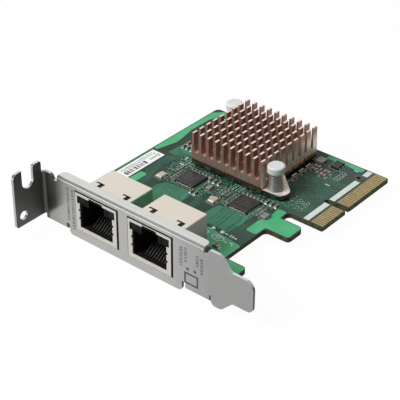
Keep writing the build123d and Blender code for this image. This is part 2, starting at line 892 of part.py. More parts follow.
chip_resistors = rows(
    tiny_part,
    0,
    [
        (17.2, 41.4, 0, 1.2, 1, 5),
        (38.6, 41.6, 0, 1.2, 1, 5),
        (49.2, 41.2, 0, 1.3, 1, 4),
        (56.4, 73.0, 0, 1.4, 1, 4),
        (34.8, 43.2, 1.6, 1.2, 2, 3),
    ],
)
chip_resistors.part.label = "chip_resistors"
export_step(chip_resistors.part, "parts/chip_resistors.step")


# Paper label near the board's far side
label_x = 3.75
label_y = 38.55
label_width = 5.0
label_length = 17.6
label_thickness = 0.1

with BuildPart() as paper_label:
    with BuildSketch(Plane.XY.offset(board_top)):
        with Locations((label_x, label_y)):
            RectangleRounded(label_width, label_length, radius=0.3)
    extrude(amount=label_thickness)

paper_label.part.label = "paper_label"
export_step(paper_label.part, "parts/paper_label.step")
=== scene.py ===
import math
import random

import bmesh
import bpy
from mathutils import Matrix, Vector


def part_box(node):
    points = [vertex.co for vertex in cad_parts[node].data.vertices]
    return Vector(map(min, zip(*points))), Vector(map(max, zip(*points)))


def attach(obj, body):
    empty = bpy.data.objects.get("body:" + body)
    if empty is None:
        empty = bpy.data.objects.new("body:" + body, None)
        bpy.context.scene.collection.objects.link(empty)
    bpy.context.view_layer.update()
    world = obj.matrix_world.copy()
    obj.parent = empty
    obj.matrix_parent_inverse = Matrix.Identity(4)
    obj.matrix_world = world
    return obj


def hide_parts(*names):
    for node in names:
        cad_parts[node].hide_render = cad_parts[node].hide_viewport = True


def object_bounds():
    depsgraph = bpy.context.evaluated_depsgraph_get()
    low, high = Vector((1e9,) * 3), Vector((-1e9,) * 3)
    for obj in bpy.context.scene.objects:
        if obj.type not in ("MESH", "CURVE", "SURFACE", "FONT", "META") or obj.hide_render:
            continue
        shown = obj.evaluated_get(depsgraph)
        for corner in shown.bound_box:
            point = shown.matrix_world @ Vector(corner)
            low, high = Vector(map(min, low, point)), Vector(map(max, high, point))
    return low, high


# Dresses the network card: finishes on every CAD node, then print, copper, solder and small parts.
# Sizes in the dictionaries are millimetres unless a note says otherwise; Blender works in metres.

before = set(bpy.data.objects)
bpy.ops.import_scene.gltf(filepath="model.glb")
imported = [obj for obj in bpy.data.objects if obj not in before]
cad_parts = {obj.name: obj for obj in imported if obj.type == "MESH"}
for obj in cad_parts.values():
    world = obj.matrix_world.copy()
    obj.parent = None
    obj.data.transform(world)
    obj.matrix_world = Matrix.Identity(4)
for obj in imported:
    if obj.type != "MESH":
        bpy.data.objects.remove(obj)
cadLow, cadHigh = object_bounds()
mm = 0.001
boardBottom, boardTop = [corner.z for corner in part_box("circuit_board")]
print("frame loaded with", len(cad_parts), "nodes")


# Node helpers

def fill(tree, socket, value):
    # links an output, or sets a plain value
    if isinstance(value, bpy.types.NodeSocket):
        tree.links.new(value, socket)
    else:
        socket.default_value = value


def addNode(tree, kind, inputs=None, **settings):
    node = tree.nodes.new(kind)
    for name, value in settings.items():
        setattr(node, name, value)
    for name, value in (inputs or {}).items():
        fill(tree, node.inputs[name], value)
    return node


def made(tree, kind, inputs=None, result=0, **settings):
    # one output of a new node
    return addNode(tree, kind, inputs, **settings).outputs[result]


def spread(tree, value, low, high, toLow=0.0, toHigh=1.0):
    # rescales a value from low..high to toLow..toHigh, held inside that span
    ends = {"Value": value, "From Min": low, "From Max": high, "To Min": toLow, "To Max": toHigh}
    return made(tree, "ShaderNodeMapRange", ends, "Result")


def blendColors(tree, factor, first, second, blend="MIX"):
    colors = {"Factor": factor, 6: first, 7: second}
    return made(tree, "ShaderNodeMix", colors, 2, data_type="RGBA", blend_type=blend)


def blendProduct(tree, first, second):
    return blendColors(tree, 1.0, first, second, "MULTIPLY")


def maths(tree, operation, first, second=0.0):
    return made(tree, "ShaderNodeMath", {0: first, 1: second}, operation=operation)


def times(tree, first, second):
    return maths(tree, "MULTIPLY", first, second)


def noise(tree, place, scale, detail, roughness=0.5):
    values = {"Vector": place, "Scale": scale, "Detail": detail, "Roughness": roughness}
    return made(tree, "ShaderNodeTexNoise", values)


def objectPlace(tree):
    return made(tree, "ShaderNodeTexCoord", result="Object")


def surfaceNormal(tree):
    return made(tree, "ShaderNodeNewGeometry", result="Normal")


def axes(tree, vector):
    return addNode(tree, "ShaderNodeSeparateXYZ", {0: vector}).outputs


def rgb(red, green, blue):
    return (red, green, blue, 1.0)


white = rgb(1, 1, 1)


# Shader groups shared by the finishes; a span goes from where a value starts to where it is whole

grainLook = {
    "cloudScale": 0.12, "cloudDetail": 3.0, "cloudSpan": (0.35, 0.65),  # the scale is a share of the streaks'
    "streakDetail": 4.0, "streakRoughness": 0.65, "streakSpan": (0.3, 0.7), "upSpan": (0.96, 0.99),
}
wearLook = {
    "samples": 4, "bendSpan": (0.985, 0.82), "patchScale": 900.0, "patchDetail": 3.0, "patchSpan": (0.35, 0.55),
    "smoother": 0.35,
}
dustLook = {
    "upSpan": (0.2, 0.9), "grainScale": 2600.0, "grainDetail": 2.0, "grainSpan": (0.4, 0.75), "rougher": 0.4,
}


def newGroup(name, inputs, outputs):
    # four numbers make a colour, three a vector; of the outputs only Color is a colour
    group = bpy.data.node_groups.new(name, "ShaderNodeTree")
    for label, value in inputs.items():
        kind = {4: "Color", 3: "Vector"}[len(value)] if isinstance(value, tuple) else "Float"
        socket = group.interface.new_socket(label, in_out="INPUT", socket_type="NodeSocket" + kind)
        socket.default_value = value
    for label in outputs:
        kind = "Color" if label == "Color" else "Float"
        group.interface.new_socket(label, in_out="OUTPUT", socket_type="NodeSocket" + kind)
    return group, group.nodes.new("NodeGroupInput").outputs, group.nodes.new("NodeGroupOutput").inputs


def placeGroup(tree, group, values):
    return addNode(tree, "ShaderNodeGroup", values, node_tree=group).outputs


def makeGrainAndShadeGroup():
    # cloudy colour, streaked roughness and a fine height; Side multiplies painted light and shade onto what doesn't
    # face up
    group, given, out = newGroup(
        "grainAndPaintedSideShade",
        {"Base": white, "Shade": white, "Side": white, "Stretch": (1, 1, 1), "Scale": 1500.0, "Smooth": 0.3,
         "Rough": 0.5},
        ["Color", "Roughness", "Height"],
    )
    place = objectPlace(group)
    turned = made(group, "ShaderNodeMapping", {"Vector": place, "Scale": given["Stretch"]})
    cloudScale = times(group, given["Scale"], grainLook["cloudScale"])
    cloud = spread(group, noise(group, place, cloudScale, grainLook["cloudDetail"]), *grainLook["cloudSpan"])
    streak = noise(group, turned, given["Scale"], grainLook["streakDetail"], grainLook["streakRoughness"])
    upward = spread(group, axes(group, surfaceNormal(group))["Z"], *grainLook["upSpan"])
    mottled = blendColors(group, cloud, given["Base"], given["Shade"])
    sided = blendProduct(group, mottled, given["Side"])
    fill(group, out["Color"], blendColors(group, upward, sided, mottled))
    fill(group, out["Roughness"], spread(group, streak, *grainLook["streakSpan"], given["Smooth"], given["Rough"]))
    fill(group, out["Height"], streak)
    return group


def makeWearGroup():
    # bares and smooths the sharp edges, broken up by noise
    group, given, out = newGroup(
        "edgeWear",
        {"Color": white, "Bare": white, "Roughness": 0.4, "Radius": 0.0001, "Amount": 0.5},
        ["Color", "Roughness"],
    )
    rounded = made(group, "ShaderNodeBevel", {"Radius": given["Radius"]}, samples=wearLook["samples"])
    bend = {0: rounded, 1: surfaceNormal(group)}
    alike = made(group, "ShaderNodeVectorMath", bend, "Value", operation="DOT_PRODUCT")
    patchy = noise(group, objectPlace(group), wearLook["patchScale"], wearLook["patchDetail"])
    broken = spread(group, patchy, *wearLook["patchSpan"])
    mask = times(group, times(group, spread(group, alike, *wearLook["bendSpan"]), broken), given["Amount"])
    smoother = maths(group, "SUBTRACT", 1.0, times(group, mask, wearLook["smoother"]))
    fill(group, out["Color"], blendColors(group, mask, given["Color"], given["Bare"]))
    fill(group, out["Roughness"], times(group, given["Roughness"], smoother))
    return group


def makeDustGroup():
    # thin dust on what faces up
    group, given, out = newGroup(
        "settledDust",
        {"Color": white, "Dust": rgb(0.55, 0.53, 0.5), "Roughness": 0.4, "Amount": 0.05},
        ["Color", "Roughness"],
    )
    upward = spread(group, axes(group, surfaceNormal(group))["Z"], *dustLook["upSpan"])
    grains = noise(group, objectPlace(group), dustLook["grainScale"], dustLook["grainDetail"])
    grains = spread(group, grains, *dustLook["grainSpan"])
    mask = times(group, times(group, upward, grains), given["Amount"])
    fill(group, out["Color"], blendColors(group, mask, given["Color"], given["Dust"]))
    fill(group, out["Roughness"], maths(group, "ADD", given["Roughness"], times(group, mask, dustLook["rougher"])))
    return group


grainAndShadeGroup = makeGrainAndShadeGroup()
wearGroup = makeWearGroup()
dustGroup = makeDustGroup()


# Finishes: base and shade are cloudy colours, smooth to rough the roughness, stretch the way of the streaks,
# scale the grain per metre, bare, edge and wear the sharp edges; what one leaves out comes from plainFinish

plainFinish = dict(
    metallic=0.0, specular=0.4, smooth=0.3, rough=0.5, stretch=(1, 1, 1), scale=6000, bump=0.05, depth=0.02,
    edge=0.02, wear=0.3, dust=0.0,
)
finishes = {
    "zincSheet": dict(
        base=(0.6, 0.6, 0.595), shade=(0.575, 0.575, 0.57), metallic=0.55, smooth=0.32, rough=0.4, specular=0.15,
        stretch=(0.12, 1, 1), scale=2600, bump=0.04, bare=(0.86, 0.86, 0.86), edge=0.1, dust=0.02,
        # side, front, right and fade are painted shade on faces that don't look up; the bands round the bend are
        # painted highlight and shade, and corner is the tab's painted shade
        side=(0.95, 0.95, 0.94), front=(0.78, 0.775, 0.755), right=(0.19, 0.19, 0.185),
        fade=(48, 64, (0.74, 0.745, 0.76)),
        paintedCrease=((0.15, 1.0), (0.24, 1.5), (0.44, 1.45), (0.52, 0.2), (0.84, 0.16), (0.93, 0.7), (0.98, 1.0)),
        corner={"slope": 1.05, "start": 1.4, "soft": (-0.6, 0.9), "fade": (5.0, 8.8), "bend": (1.9, 2.6),
                "plate": (-1.1, -1.3), "paintedShadeColor": (0.2, 0.2, 0.195)},
    ),
    "tinShield": dict(
        base=(0.65, 0.6, 0.52), shade=(0.64, 0.59, 0.51), metallic=0.2, smooth=0.26, rough=0.32, specular=0.2,
        stretch=(1, 0.2, 1), scale=2200, bump=0.008, bare=(0.8, 0.77, 0.72), edge=0.1, wear=0.4, dust=0.008,
        # front and right are painted light and shade on faces that look forward and right; between is the board's
        # green painted on as a reflection
        front=(1.0, 1.03, 1.1), right=(0.55, 0.58, 0.56), between=(29.55, 0.2, (0.34, 0.85, 0.6)),
    ),
    "fingerGold": dict(
        base=(0.42, 0.31, 0.14), shade=(0.36, 0.26, 0.115), metallic=0.6, smooth=0.22, rough=0.36, specular=0.2,
        stretch=(0.2, 1, 1), scale=4200, bare=(0.8, 0.6, 0.3), edge=0.05, wear=0.4, dust=0.03,
    ),
    "screwZinc": dict(
        base=(0.62, 0.62, 0.6), shade=(0.5, 0.5, 0.48), metallic=0.9, smooth=0.22, rough=0.4, scale=3200, bump=0.1,
        bare=(0.85, 0.85, 0.85), edge=0.1, wear=0.6, dust=0.04,
    ),
    "copperFin": dict(
        base=(0.86, 0.67, 0.6), shade=(0.82, 0.63, 0.565), metallic=0.4, smooth=0.22, rough=0.32, specular=0.2,
        stretch=(1, 1, 0.12), scale=1600, bump=0.02, bare=(0.86, 0.7, 0.63), edge=0.05, wear=0.25, dust=0.01,
        # side, front and outer are painted shade and light on faces that don't look up; foot paints shade at the
        # base's foot and a rim of painted reflection above it
        side=(0.47, 0.33, 0.29), front=(0.315, 0.29, 0.26), outer=(44.45, (1.1, 1.22, 1.15)),
        low=(5.8, (0.84, 0.8, 0.75)),
        foot={"patches": 520.0, "patchSpan": (0.45, 0.55), "soft": 0.3, "lowEnd": 5.2, "rimEnd": 6.2,
              "low": ((0.03, 0.12, 0.08), (0.01, 0.03, 0.02)),
              "rimFront": ((0.14, 0.03, 0.03), (0.03, 0.05, 0.03)),
              "rimRight": ((0.6, 0.11, 0.08), (1.2, 0.62, 0.2))},
    ),
    "moldEpoxy": dict(
        base=(0.022, 0.02, 0.021), shade=(0.034, 0.032, 0.034), rough=0.42, specular=0.15, scale=7000, bump=0.1,
        bare=(0.12, 0.12, 0.12), edge=0.05, wear=0.4, dust=0.04,
    ),
    "padGrey": dict(
        base=(0.3, 0.3, 0.32), shade=(0.24, 0.24, 0.26), smooth=0.6, rough=0.8, scale=3000, bump=0.2,
        bare=(0.35, 0.35, 0.37), edge=0.05,
    ),
    "nylonPin": dict(
        base=(0.66, 0.67, 0.67), shade=(0.62, 0.63, 0.635), smooth=0.32, rough=0.46, specular=0.3, scale=2600,
        bump=0.08, bare=(0.86, 0.86, 0.86), edge=0.1, dust=0.06,
    ),
    "springWire": dict(
        base=(0.22, 0.22, 0.2), shade=(0.17, 0.17, 0.15), metallic=0.6, rough=0.45, specular=0.2, scale=4000,
        bare=(0.7, 0.7, 0.7), edge=0.05, dust=0.02,
    ),
    "crystalCan": dict(
        base=(0.5, 0.46, 0.37), shade=(0.46, 0.42, 0.34), metallic=0.4, rough=0.45, specular=0.2, stretch=(1, 0.3, 1),
        scale=4500, bump=0.06, bare=(0.82, 0.76, 0.68), edge=0.06, wear=0.6, dust=0.06,
    ),
    "bareTin": dict(
        base=(0.36, 0.38, 0.36), shade=(0.24, 0.27, 0.25), metallic=0.6, smooth=0.2, rough=0.42, specular=0.3,
        bump=0.12, bare=(0.8, 0.8, 0.8), edge=0.04, dust=0.03,
    ),
    "ferrite": dict(
        base=(0.24, 0.205, 0.19), shade=(0.2, 0.17, 0.16), metallic=0.1, smooth=0.35, rough=0.55, specular=0.35,
        bump=0.2, bare=(0.4, 0.38, 0.36), edge=0.07, wear=0.6, dust=0.1,
    ),
    "brownCeramic": dict(
        base=(0.16, 0.065, 0.035), shade=(0.22, 0.11, 0.06), specular=0.3, scale=5000, bump=0.1,
        bare=(0.5, 0.36, 0.26), edge=0.04, wear=0.4, dust=0.05,
    ),
    "blackGlaze": dict(
        base=(0.018, 0.018, 0.02), shade=(0.03, 0.03, 0.032), smooth=0.2, rough=0.4, scale=5000, bump=0.06,
        bare=(0.1, 0.1, 0.1), edge=0.03, dust=0.08,
    ),
    "blackInsert": dict(
        base=(0.006, 0.006, 0.006), shade=(0.009, 0.009, 0.009), smooth=0.5, rough=0.7, specular=0.06, scale=5000,
        bump=0.1, bare=(0.02, 0.02, 0.02), edge=0.05, wear=0.2,
    ),
    "smokedPipeAndShade": dict(
        base=(0.004, 0.006, 0.004), shade=(0.012, 0.018, 0.012), smooth=0.4, rough=0.6, specular=0.08,
        stretch=(1, 1, 0.1), scale=1400, bump=0.04, bare=(0.06, 0.07, 0.06), edge=0.05, wear=0.4,
    ),
    "dullGold": dict(
        base=(0.026, 0.025, 0.023), shade=(0.018, 0.0175, 0.016), metallic=0.2, smooth=0.35, specular=0.1, scale=5000,
        bump=0.04, bare=(0.08, 0.075, 0.06), edge=0.04,
    ),
    "labelPaper": dict(
        base=(0.86, 0.88, 0.86), shade=(0.82, 0.84, 0.82), smooth=0.55, rough=0.75, specular=0.2, scale=8000,
        bump=0.15, bare=(0.88, 0.88, 0.88), edge=0.04, wear=0.4, dust=0.04,
    ),
    "labelInk": dict(
        base=(0.05, 0.05, 0.055), shade=(0.09, 0.09, 0.095), smooth=0.5, rough=0.7, scale=9000, bare=(0.3, 0.3, 0.3),
    ),
    "screenInk": dict(
        base=(0.62, 0.7, 0.66), shade=(0.56, 0.65, 0.6), smooth=0.35, specular=0.3, bump=0.12, bare=(0.8, 0.84, 0.82),
        dust=0.04,
    ),
    "paleInk": dict(
        base=(0.3, 0.42, 0.36), shade=(0.22, 0.36, 0.29), bump=0.12, bare=(0.5, 0.6, 0.55),
    ),
    "panelInk": dict(
        base=(0.05, 0.05, 0.06), shade=(0.09, 0.09, 0.1), smooth=0.4, rough=0.6, bump=0.08, bare=(0.4, 0.4, 0.4),
    ),
    "columnInk": dict(
        base=(0.13, 0.13, 0.15), shade=(0.2, 0.2, 0.22), smooth=0.4, rough=0.6, bump=0.08, bare=(0.4, 0.4, 0.4),
    ),
    "specGreen": dict(
        base=(0.11, 0.42, 0.24), shade=(0.07, 0.3, 0.17), smooth=0.2, rough=0.35, specular=0.2, bare=(0.3, 0.6, 0.4),
        wear=0.2,
    ),
    "paintedGapShade": dict(
        base=(0.004, 0.004, 0.004), shade=(0.007, 0.007, 0.007), smooth=0.6, rough=0.8, specular=0.05, bump=0.02,
        bare=(0.01, 0.01, 0.01), wear=0.1,
    ),
    "chipInk": dict(
        base=(0.07, 0.07, 0.07), shade=(0.05, 0.05, 0.05), smooth=0.4, rough=0.6, bump=0.08, bare=(0.1, 0.1, 0.1),
        wear=0.2,
    ),
    "pourGreen": dict(
        base=(0.075, 0.42, 0.19), shade=(0.066, 0.37, 0.165), smooth=0.14, rough=0.26, specular=0.15, scale=1800,
        bare=(0.12, 0.42, 0.22), edge=0.04, wear=0.4, dust=0.04,
    ),
    "midGreen": dict(
        base=(0.04, 0.18, 0.1), shade=(0.032, 0.15, 0.085), smooth=0.14, rough=0.26, specular=0.12, scale=1800,
        bare=(0.08, 0.3, 0.17), edge=0.04, wear=0.4, dust=0.04,
    ),
    "traceGreen": dict(
        base=(0.05, 0.19, 0.115), shade=(0.035, 0.15, 0.09), smooth=0.14, rough=0.28, specular=0.12, scale=2600,
        bare=(0.14, 0.4, 0.26),
    ),
    "darkMask": dict(
        base=(0.022, 0.03, 0.03), shade=(0.03, 0.04, 0.038), smooth=0.2, rough=0.4, scale=3000,
        bare=(0.06, 0.09, 0.08), wear=0.2,
    ),
}

# How far a normal leans each way before the painted light and shade on a side starts and is whole
leans = {
    "front": (-0.4, -0.7), "right": (0.05, 0.3), "upright": (0.6, 0.4), "sideways": (0.2, 0.6), "paintedCreaseLean": (0.2, 0.5),
}
colorStep = 0.1  # how far one colour takes to change to another, where a look states one level


def paintedLightAndShade(tree, look):
    # painted light and shade: what multiplies the colour of faces that don't look up, from the way they face and
    # where they are
    facing = axes(tree, surfaceNormal(tree))
    place = objectPlace(tree)
    at = axes(tree, place)

    def along(axis, low, high):
        # 0 to 1 between two places on an axis, in millimetres
        return spread(tree, at[axis], low * mm, high * mm)

    def leaning(axis, name):
        return spread(tree, facing[axis], *leans[name])

    # side: painted shade on every face that doesn't look up
    tint = rgb(*look.get("side", (1, 1, 1)))
    # front and right: painted light and shade on faces that look forward and to the right
    if "front" in look:
        tint = blendColors(tree, leaning("Y", "front"), tint, rgb(*look["front"]))
    if "right" in look:
        rightward = times(tree, leaning("X", "right"), leaning("Z", "upright"))
        tint = blendColors(tree, rightward, tint, rgb(*look["right"]))
    if "fade" in look:
        # painted shade on the sides, growing between two places on X
        start, end, paintedShadeColor = look["fade"]
        tint = blendProduct(tree, tint, blendColors(tree, along("X", start, end), white, rgb(*paintedShadeColor)))
    if "between" in look:
        # painted reflection: the green of the board, seen on the shield that faces the other one
        middle, reach, green = look["between"]
        away = maths(tree, "ABSOLUTE", maths(tree, "SUBTRACT", at["X"], middle * mm))
        sideways = times(tree, maths(tree, "LESS_THAN", away, reach * mm), leaning("X", "sideways"))
        tint = blendColors(tree, sideways, tint, rgb(*green))
    if "outer" in look:
        # painted light on the sides beyond a place on X
        level, pale = look["outer"]
        tint = blendColors(tree, along("X", level - colorStep, level), tint, rgb(*pale))
    if "foot" in look:
        # painted shade on the foot of the heatsink's base, and above it a rim tinted dark red and orange: painted
        # shade and painted reflection on the copper
        foot = look["foot"]
        broken = spread(tree, noise(tree, place, foot["patches"], 1.0), *foot["patchSpan"])
        low, rimFront, rimRight = [
            blendColors(tree, broken, rgb(*first), rgb(*second))
            for first, second in (foot["low"], foot["rimFront"], foot["rimRight"])
        ]
        rim = blendColors(tree, leaning("X", "sideways"), rimFront, rimRight)
        under = blendColors(tree, along("Z", foot["lowEnd"], foot["lowEnd"] + foot["soft"]), low, rim)
        tint = blendColors(tree, along("Z", foot["rimEnd"], foot["rimEnd"] + foot["soft"]), under, tint)
    if "corner" in look:
        # painted shade on the mounting tab and the corner beside it, with the tab's dark reflection painted in: it
        # fades out to the right and below a slanting line
        corner = look["corner"]
        line = maths(tree, "ADD", times(tree, at["X"], corner["slope"]), corner["start"] * mm)
        low, high = corner["soft"]
        below = spread(tree, maths(tree, "SUBTRACT", line, at["Z"]), low * mm, high * mm)
        lit = maths(tree, "MAXIMUM", below, along("X", *corner["fade"]))
        lit = times(tree, lit, along("X", *corner["bend"]))
        lit = maths(tree, "MAXIMUM", lit, along("Y", *corner["plate"]))
        tint = blendColors(tree, lit, rgb(*corner["paintedShadeColor"]), tint)
    if "paintedCrease" in look:
        # painted highlight and painted shade in bands round the flange's bend, by how far the normal leans upwards
        ramp = addNode(tree, "ShaderNodeValToRGB", {"Fac": facing["Z"]})
        stops = ramp.color_ramp.elements
        for level, shade in look["paintedCrease"]:
            stops.new(level).color = rgb(shade, shade, shade)
        stops.remove(stops[-1])
        stops[0].color = white
        tint = blendProduct(tree, tint, blendColors(tree, leaning("X", "paintedCreaseLean"), ramp.outputs["Color"], white))
    return tint


def lowColor(tree, look, name):
    # the finish's colour, with another one below a level where it has one
    if "low" not in look:
        return rgb(*look[name])
    level, color = look["low"]
    risen = spread(tree, axes(tree, objectPlace(tree))["Z"], level * mm, (level + colorStep) * mm)
    return blendColors(tree, risen, rgb(*color), rgb(*look[name]))


def startMaterial(name):
    material = bpy.data.materials.new(name)
    material.use_nodes = True
    return material, material.node_tree


def endFinish(tree, color, roughness, height, look):
    # dusts the surface and sets the shader; what is the same all over goes on its own sockets
    dusty = placeGroup(tree, dustGroup, {"Color": color, "Roughness": roughness, "Amount": look["dust"]})
    relief = {"Height": height, "Strength": look["bump"], "Distance": look["depth"] * mm}
    values = {
        "Base Color": dusty["Color"], "Roughness": dusty["Roughness"], "Normal": made(tree, "ShaderNodeBump", relief),
        "Metallic": look["metallic"], "Specular IOR Level": look["specular"],
    }
    for name, value in values.items():
        fill(tree, tree.nodes["Principled BSDF"].inputs[name], value)


def makeFinish(name, look):
    material, tree = startMaterial(name)
    grain = placeGroup(tree, grainAndShadeGroup, {
        "Base": lowColor(tree, look, "base"), "Shade": lowColor(tree, look, "shade"), "Side": paintedLightAndShade(tree, look),
        "Stretch": look["stretch"], "Scale": look["scale"], "Smooth": look["smooth"], "Rough": look["rough"],
    })
    worn = placeGroup(tree, wearGroup, {
        "Color": grain["Color"], "Bare": rgb(*look["bare"]), "Roughness": grain["Roughness"],
        "Radius": look["edge"] * mm, "Amount": look["wear"],
    })
    endFinish(tree, worn["Color"], worn["Roughness"], grain["Height"], look)
    return material


finish = {name: makeFinish(name, {**plainFinish, **look}) for name, look in finishes.items()}


# Board laminate: solder mask on the faces, layered glass weave on the cut edges

boardLook = {
    "mask": {"Base": rgb(0.010, 0.030, 0.020), "Shade": rgb(0.014, 0.044, 0.028), "Scale": 1500.0, "Smooth": 0.10,
             "Rough": 0.24},
    "maskHeight": 0.25,
    "paleMask": (0.030, 0.062, 0.048),  # beside the contacts, reached between two places on X
    "paleSide": (45.0, 52.0),
    "faceSpan": (0.85, 0.95),  # how upright the normal of a face is
    "laminate": {"Base": rgb(0.085, 0.08, 0.04), "Shade": rgb(0.035, 0.045, 0.022), "Stretch": (0.08, 0.08, 1.0),
                 "Scale": 5200.0, "Smooth": 0.5, "Rough": 0.8},
    "metallic": 0.0,
    "specular": 0.12,
    "dust": 0.05,
    "bump": 0.25,
    "depth": 0.03,
}


def makeBoardMask():
    material, tree = startMaterial("boardMask")
    mask = placeGroup(tree, grainAndShadeGroup, boardLook["mask"])
    layers = placeGroup(tree, grainAndShadeGroup, boardLook["laminate"])
    upright = maths(tree, "ABSOLUTE", axes(tree, surfaceNormal(tree))["Z"])
    isFace = spread(tree, upright, *boardLook["faceSpan"])
    start, end = boardLook["paleSide"]
    paler = spread(tree, axes(tree, objectPlace(tree))["X"], start * mm, end * mm)
    face = blendColors(tree, paler, mask["Color"], rgb(*boardLook["paleMask"]))
    color = blendColors(tree, isFace, layers["Color"], face)
    rough = spread(tree, isFace, 0.0, 1.0, layers["Roughness"], mask["Roughness"])
    height = spread(tree, isFace, 0.0, 1.0, layers["Height"], times(tree, mask["Height"], boardLook["maskHeight"]))
    endFinish(tree, color, rough, height, boardLook)
    return material


finish["boardMask"] = makeBoardMask()

finishNodes = {
    "zincSheet": ["bracket"],
    "boardMask": ["circuit_board"],
    "fingerGold": ["top_edge_pads", "bottom_edge_pads"],
    "screwZinc": ["bracket_screws"],
    "copperFin": ["heatsink"],
    "moldEpoxy": ["controller_chip", "left_network_chip", "right_network_chip", "memory_chip"],
    "padGrey": ["thermal_pad"],
    "nylonPin": ["front_push_pin", "rear_push_pin"],
    "springWire": ["front_pin_spring", "rear_pin_spring"],
    "crystalCan": ["left_crystal", "right_crystal"],
    "ferrite": ["power_inductor", "core_inductor", "edge_inductor"],
    "brownCeramic": ["ceramic_capacitors", "bulk_capacitors", "filter_capacitors"],
    "blackGlaze": ["chip_resistors"],
    "labelPaper": ["paper_label"],
    "tinShield": ["left_jack_shield", "right_jack_shield"],
    "blackInsert": ["left_jack_insert", "right_jack_insert"],
    "dullGold": ["left_jack_contacts", "right_jack_contacts"],
    "smokedPipeAndShade": ["left_light_pipes", "right_light_pipes"],
    "bareTin": ["memory_leads", "left_solder_tails", "right_solder_tails"],
}
for finishName, nodeNames in finishNodes.items():
    for nodeName in nodeNames:
        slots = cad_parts[nodeName].data.materials
        if not len(slots):
            slots.append(finish[finishName])
        for number in range(len(slots)):
            slots[number] = finish[finishName]
print("finishes placed on", sum(map(len, finishNodes.values())), "nodes")


# Geometry Nodes helpers

def newTree(name, inputs):
    tree = bpy.data.node_groups.new(name, "GeometryNodeTree")
    for label, kind in {"Geometry": "Geometry", **inputs}.items():
        tree.interface.new_socket(label, in_out="INPUT", socket_type="NodeSocket" + kind)
    tree.interface.new_socket("Geometry", in_out="OUTPUT", socket_type="NodeSocketGeometry")
    return tree, tree.nodes.new("NodeGroupInput").outputs


def endTree(tree, geometry, *materials):
    # realizes the instances, then sets the finish; a second finish goes on faces marked isTin
    shape = made(tree, "GeometryNodeRealizeInstances", {"Geometry": geometry})
    shape = made(tree, "GeometryNodeSetMaterial", {"Geometry": shape, "Material": materials[0]})
    if len(materials) > 1:
        marked = made(tree, "GeometryNodeInputNamedAttribute", {"Name": "isTin"}, data_type="FLOAT")
        chosen = made(tree, "FunctionNodeCompare", {0: marked, 1: 0.5}, data_type="FLOAT", operation="GREATER_THAN")
        tinned = {"Geometry": shape, "Selection": chosen, "Material": materials[1]}
        shape = made(tree, "GeometryNodeSetMaterial", tinned)
    fill(tree, tree.nodes.new("NodeGroupOutput").inputs[0], shape)
    return tree


def newObject(name, data, hidden=False):
    thing = bpy.data.objects.new(name, data)
    bpy.context.scene.collection.objects.link(thing)
    thing.hide_render = hidden
    return thing


def keepPiece(name, mesh, slotName, *replaced):
    piece = newObject(name, mesh)
    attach(piece, "root")
    if replaced:
        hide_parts(*replaced)
    print("piece", name, "has", len(mesh.polygons), "faces")
    return piece


def growPiece(name, tree, values, slotName, *replaced, host=None):
    # runs a tree once on a host mesh and keeps its result as a plain mesh
    worker = newObject(name + "Worker", host or bpy.data.meshes.new(name + "Host"))
    modifier = worker.modifiers.new(tree.name, "NODES")
    modifier.node_group = tree
    for item in tree.interface.items_tree:
        if item.in_out == "INPUT" and item.name in values:
            modifier[item.identifier] = values[item.name]
    depsgraph = bpy.context.evaluated_depsgraph_get()
    mesh = bpy.data.meshes.new_from_object(worker.evaluated_get(depsgraph), depsgraph=depsgraph)
    worker.modifiers.remove(modifier)
    for thing in [worker] + [value for value in values.values() if isinstance(value, bpy.types.Object)]:
        bpy.data.objects.remove(thing)
    mesh.name = name
    return keepPiece(name, mesh, slotName, *replaced)


def pathObject(name, paths, level, closed=False):
    # paths in millimetres on the board's plane, as one curve object at a level in metres
    curve = bpy.data.curves.new(name, "CURVE")
    curve.dimensions = "3D"
    for path in paths:
        spline = curve.splines.new("POLY")
        spline.points.add(len(path) - 1)
        for point, (x, y) in zip(spline.points, path):
            point.co = (x * mm, y * mm, level, 1.0)
        spline.use_cyclic_u = closed
    return newObject(name, curve, hidden=True)


def objectShape(tree, thing):
    return made(tree, "GeometryNodeObjectInfo", {"Object": thing}, "Geometry")


def easedPath(tree, thing, corner, steps):
    # an object's curve with its corners rounded
    rounding = {"Curve": objectShape(tree, thing), "Radius": corner, "Limit Radius": True, "Count": steps}
    return made(tree, "GeometryNodeFilletCurve", rounding, mode="POLY")


def sweptMesh(tree, path, section):
    return made(tree, "GeometryNodeCurveToMesh", {"Curve": path, "Profile Curve": section, "Fill Caps": True})


def makeRibbonTree():
    tree, given = newTree(
        "ribbonTree", {"Path": "Object", "Corner": "Float", "Width": "Float", "Height": "Float", "Finish": "Material"}
    )
    eased = easedPath(tree, given["Path"], given["Corner"], 3)
    flat = made(tree, "GeometryNodeSetCurveNormal", {"Curve": eased}, mode="Z_UP")
    size = {"Width": given["Width"], "Height": given["Height"]}
    section = made(tree, "GeometryNodeCurvePrimitiveQuadrilateral", size)
    return endTree(tree, sweptMesh(tree, flat, section), given["Finish"])


def makePatchTree():
    tree, given = newTree(
        "patchTree",
        {"Outline": "Object", "Corner": "Float", "Level": "Vector", "Thickness": "Float", "Finish": "Material"},
    )
    filled = made(tree, "GeometryNodeFillCurve", {"Curve": easedPath(tree, given["Outline"], given["Corner"], 5)})
    rise = {"Mesh": filled, "Offset Scale": given["Thickness"], "Individual": False}
    both = addNode(tree, "GeometryNodeJoinGeometry")
    for shape in (made(tree, "GeometryNodeExtrudeMesh", rise), made(tree, "GeometryNodeFlipFaces", {"Mesh": filled})):
        fill(tree, both.inputs[0], shape)
    closed = made(tree, "GeometryNodeMergeByDistance", {"Geometry": both.outputs[0], "Distance": 1e-6})
    lifted = made(tree, "GeometryNodeTransform", {"Geometry": closed, "Translation": given["Level"]})
    return endTree(tree, lifted, given["Finish"])


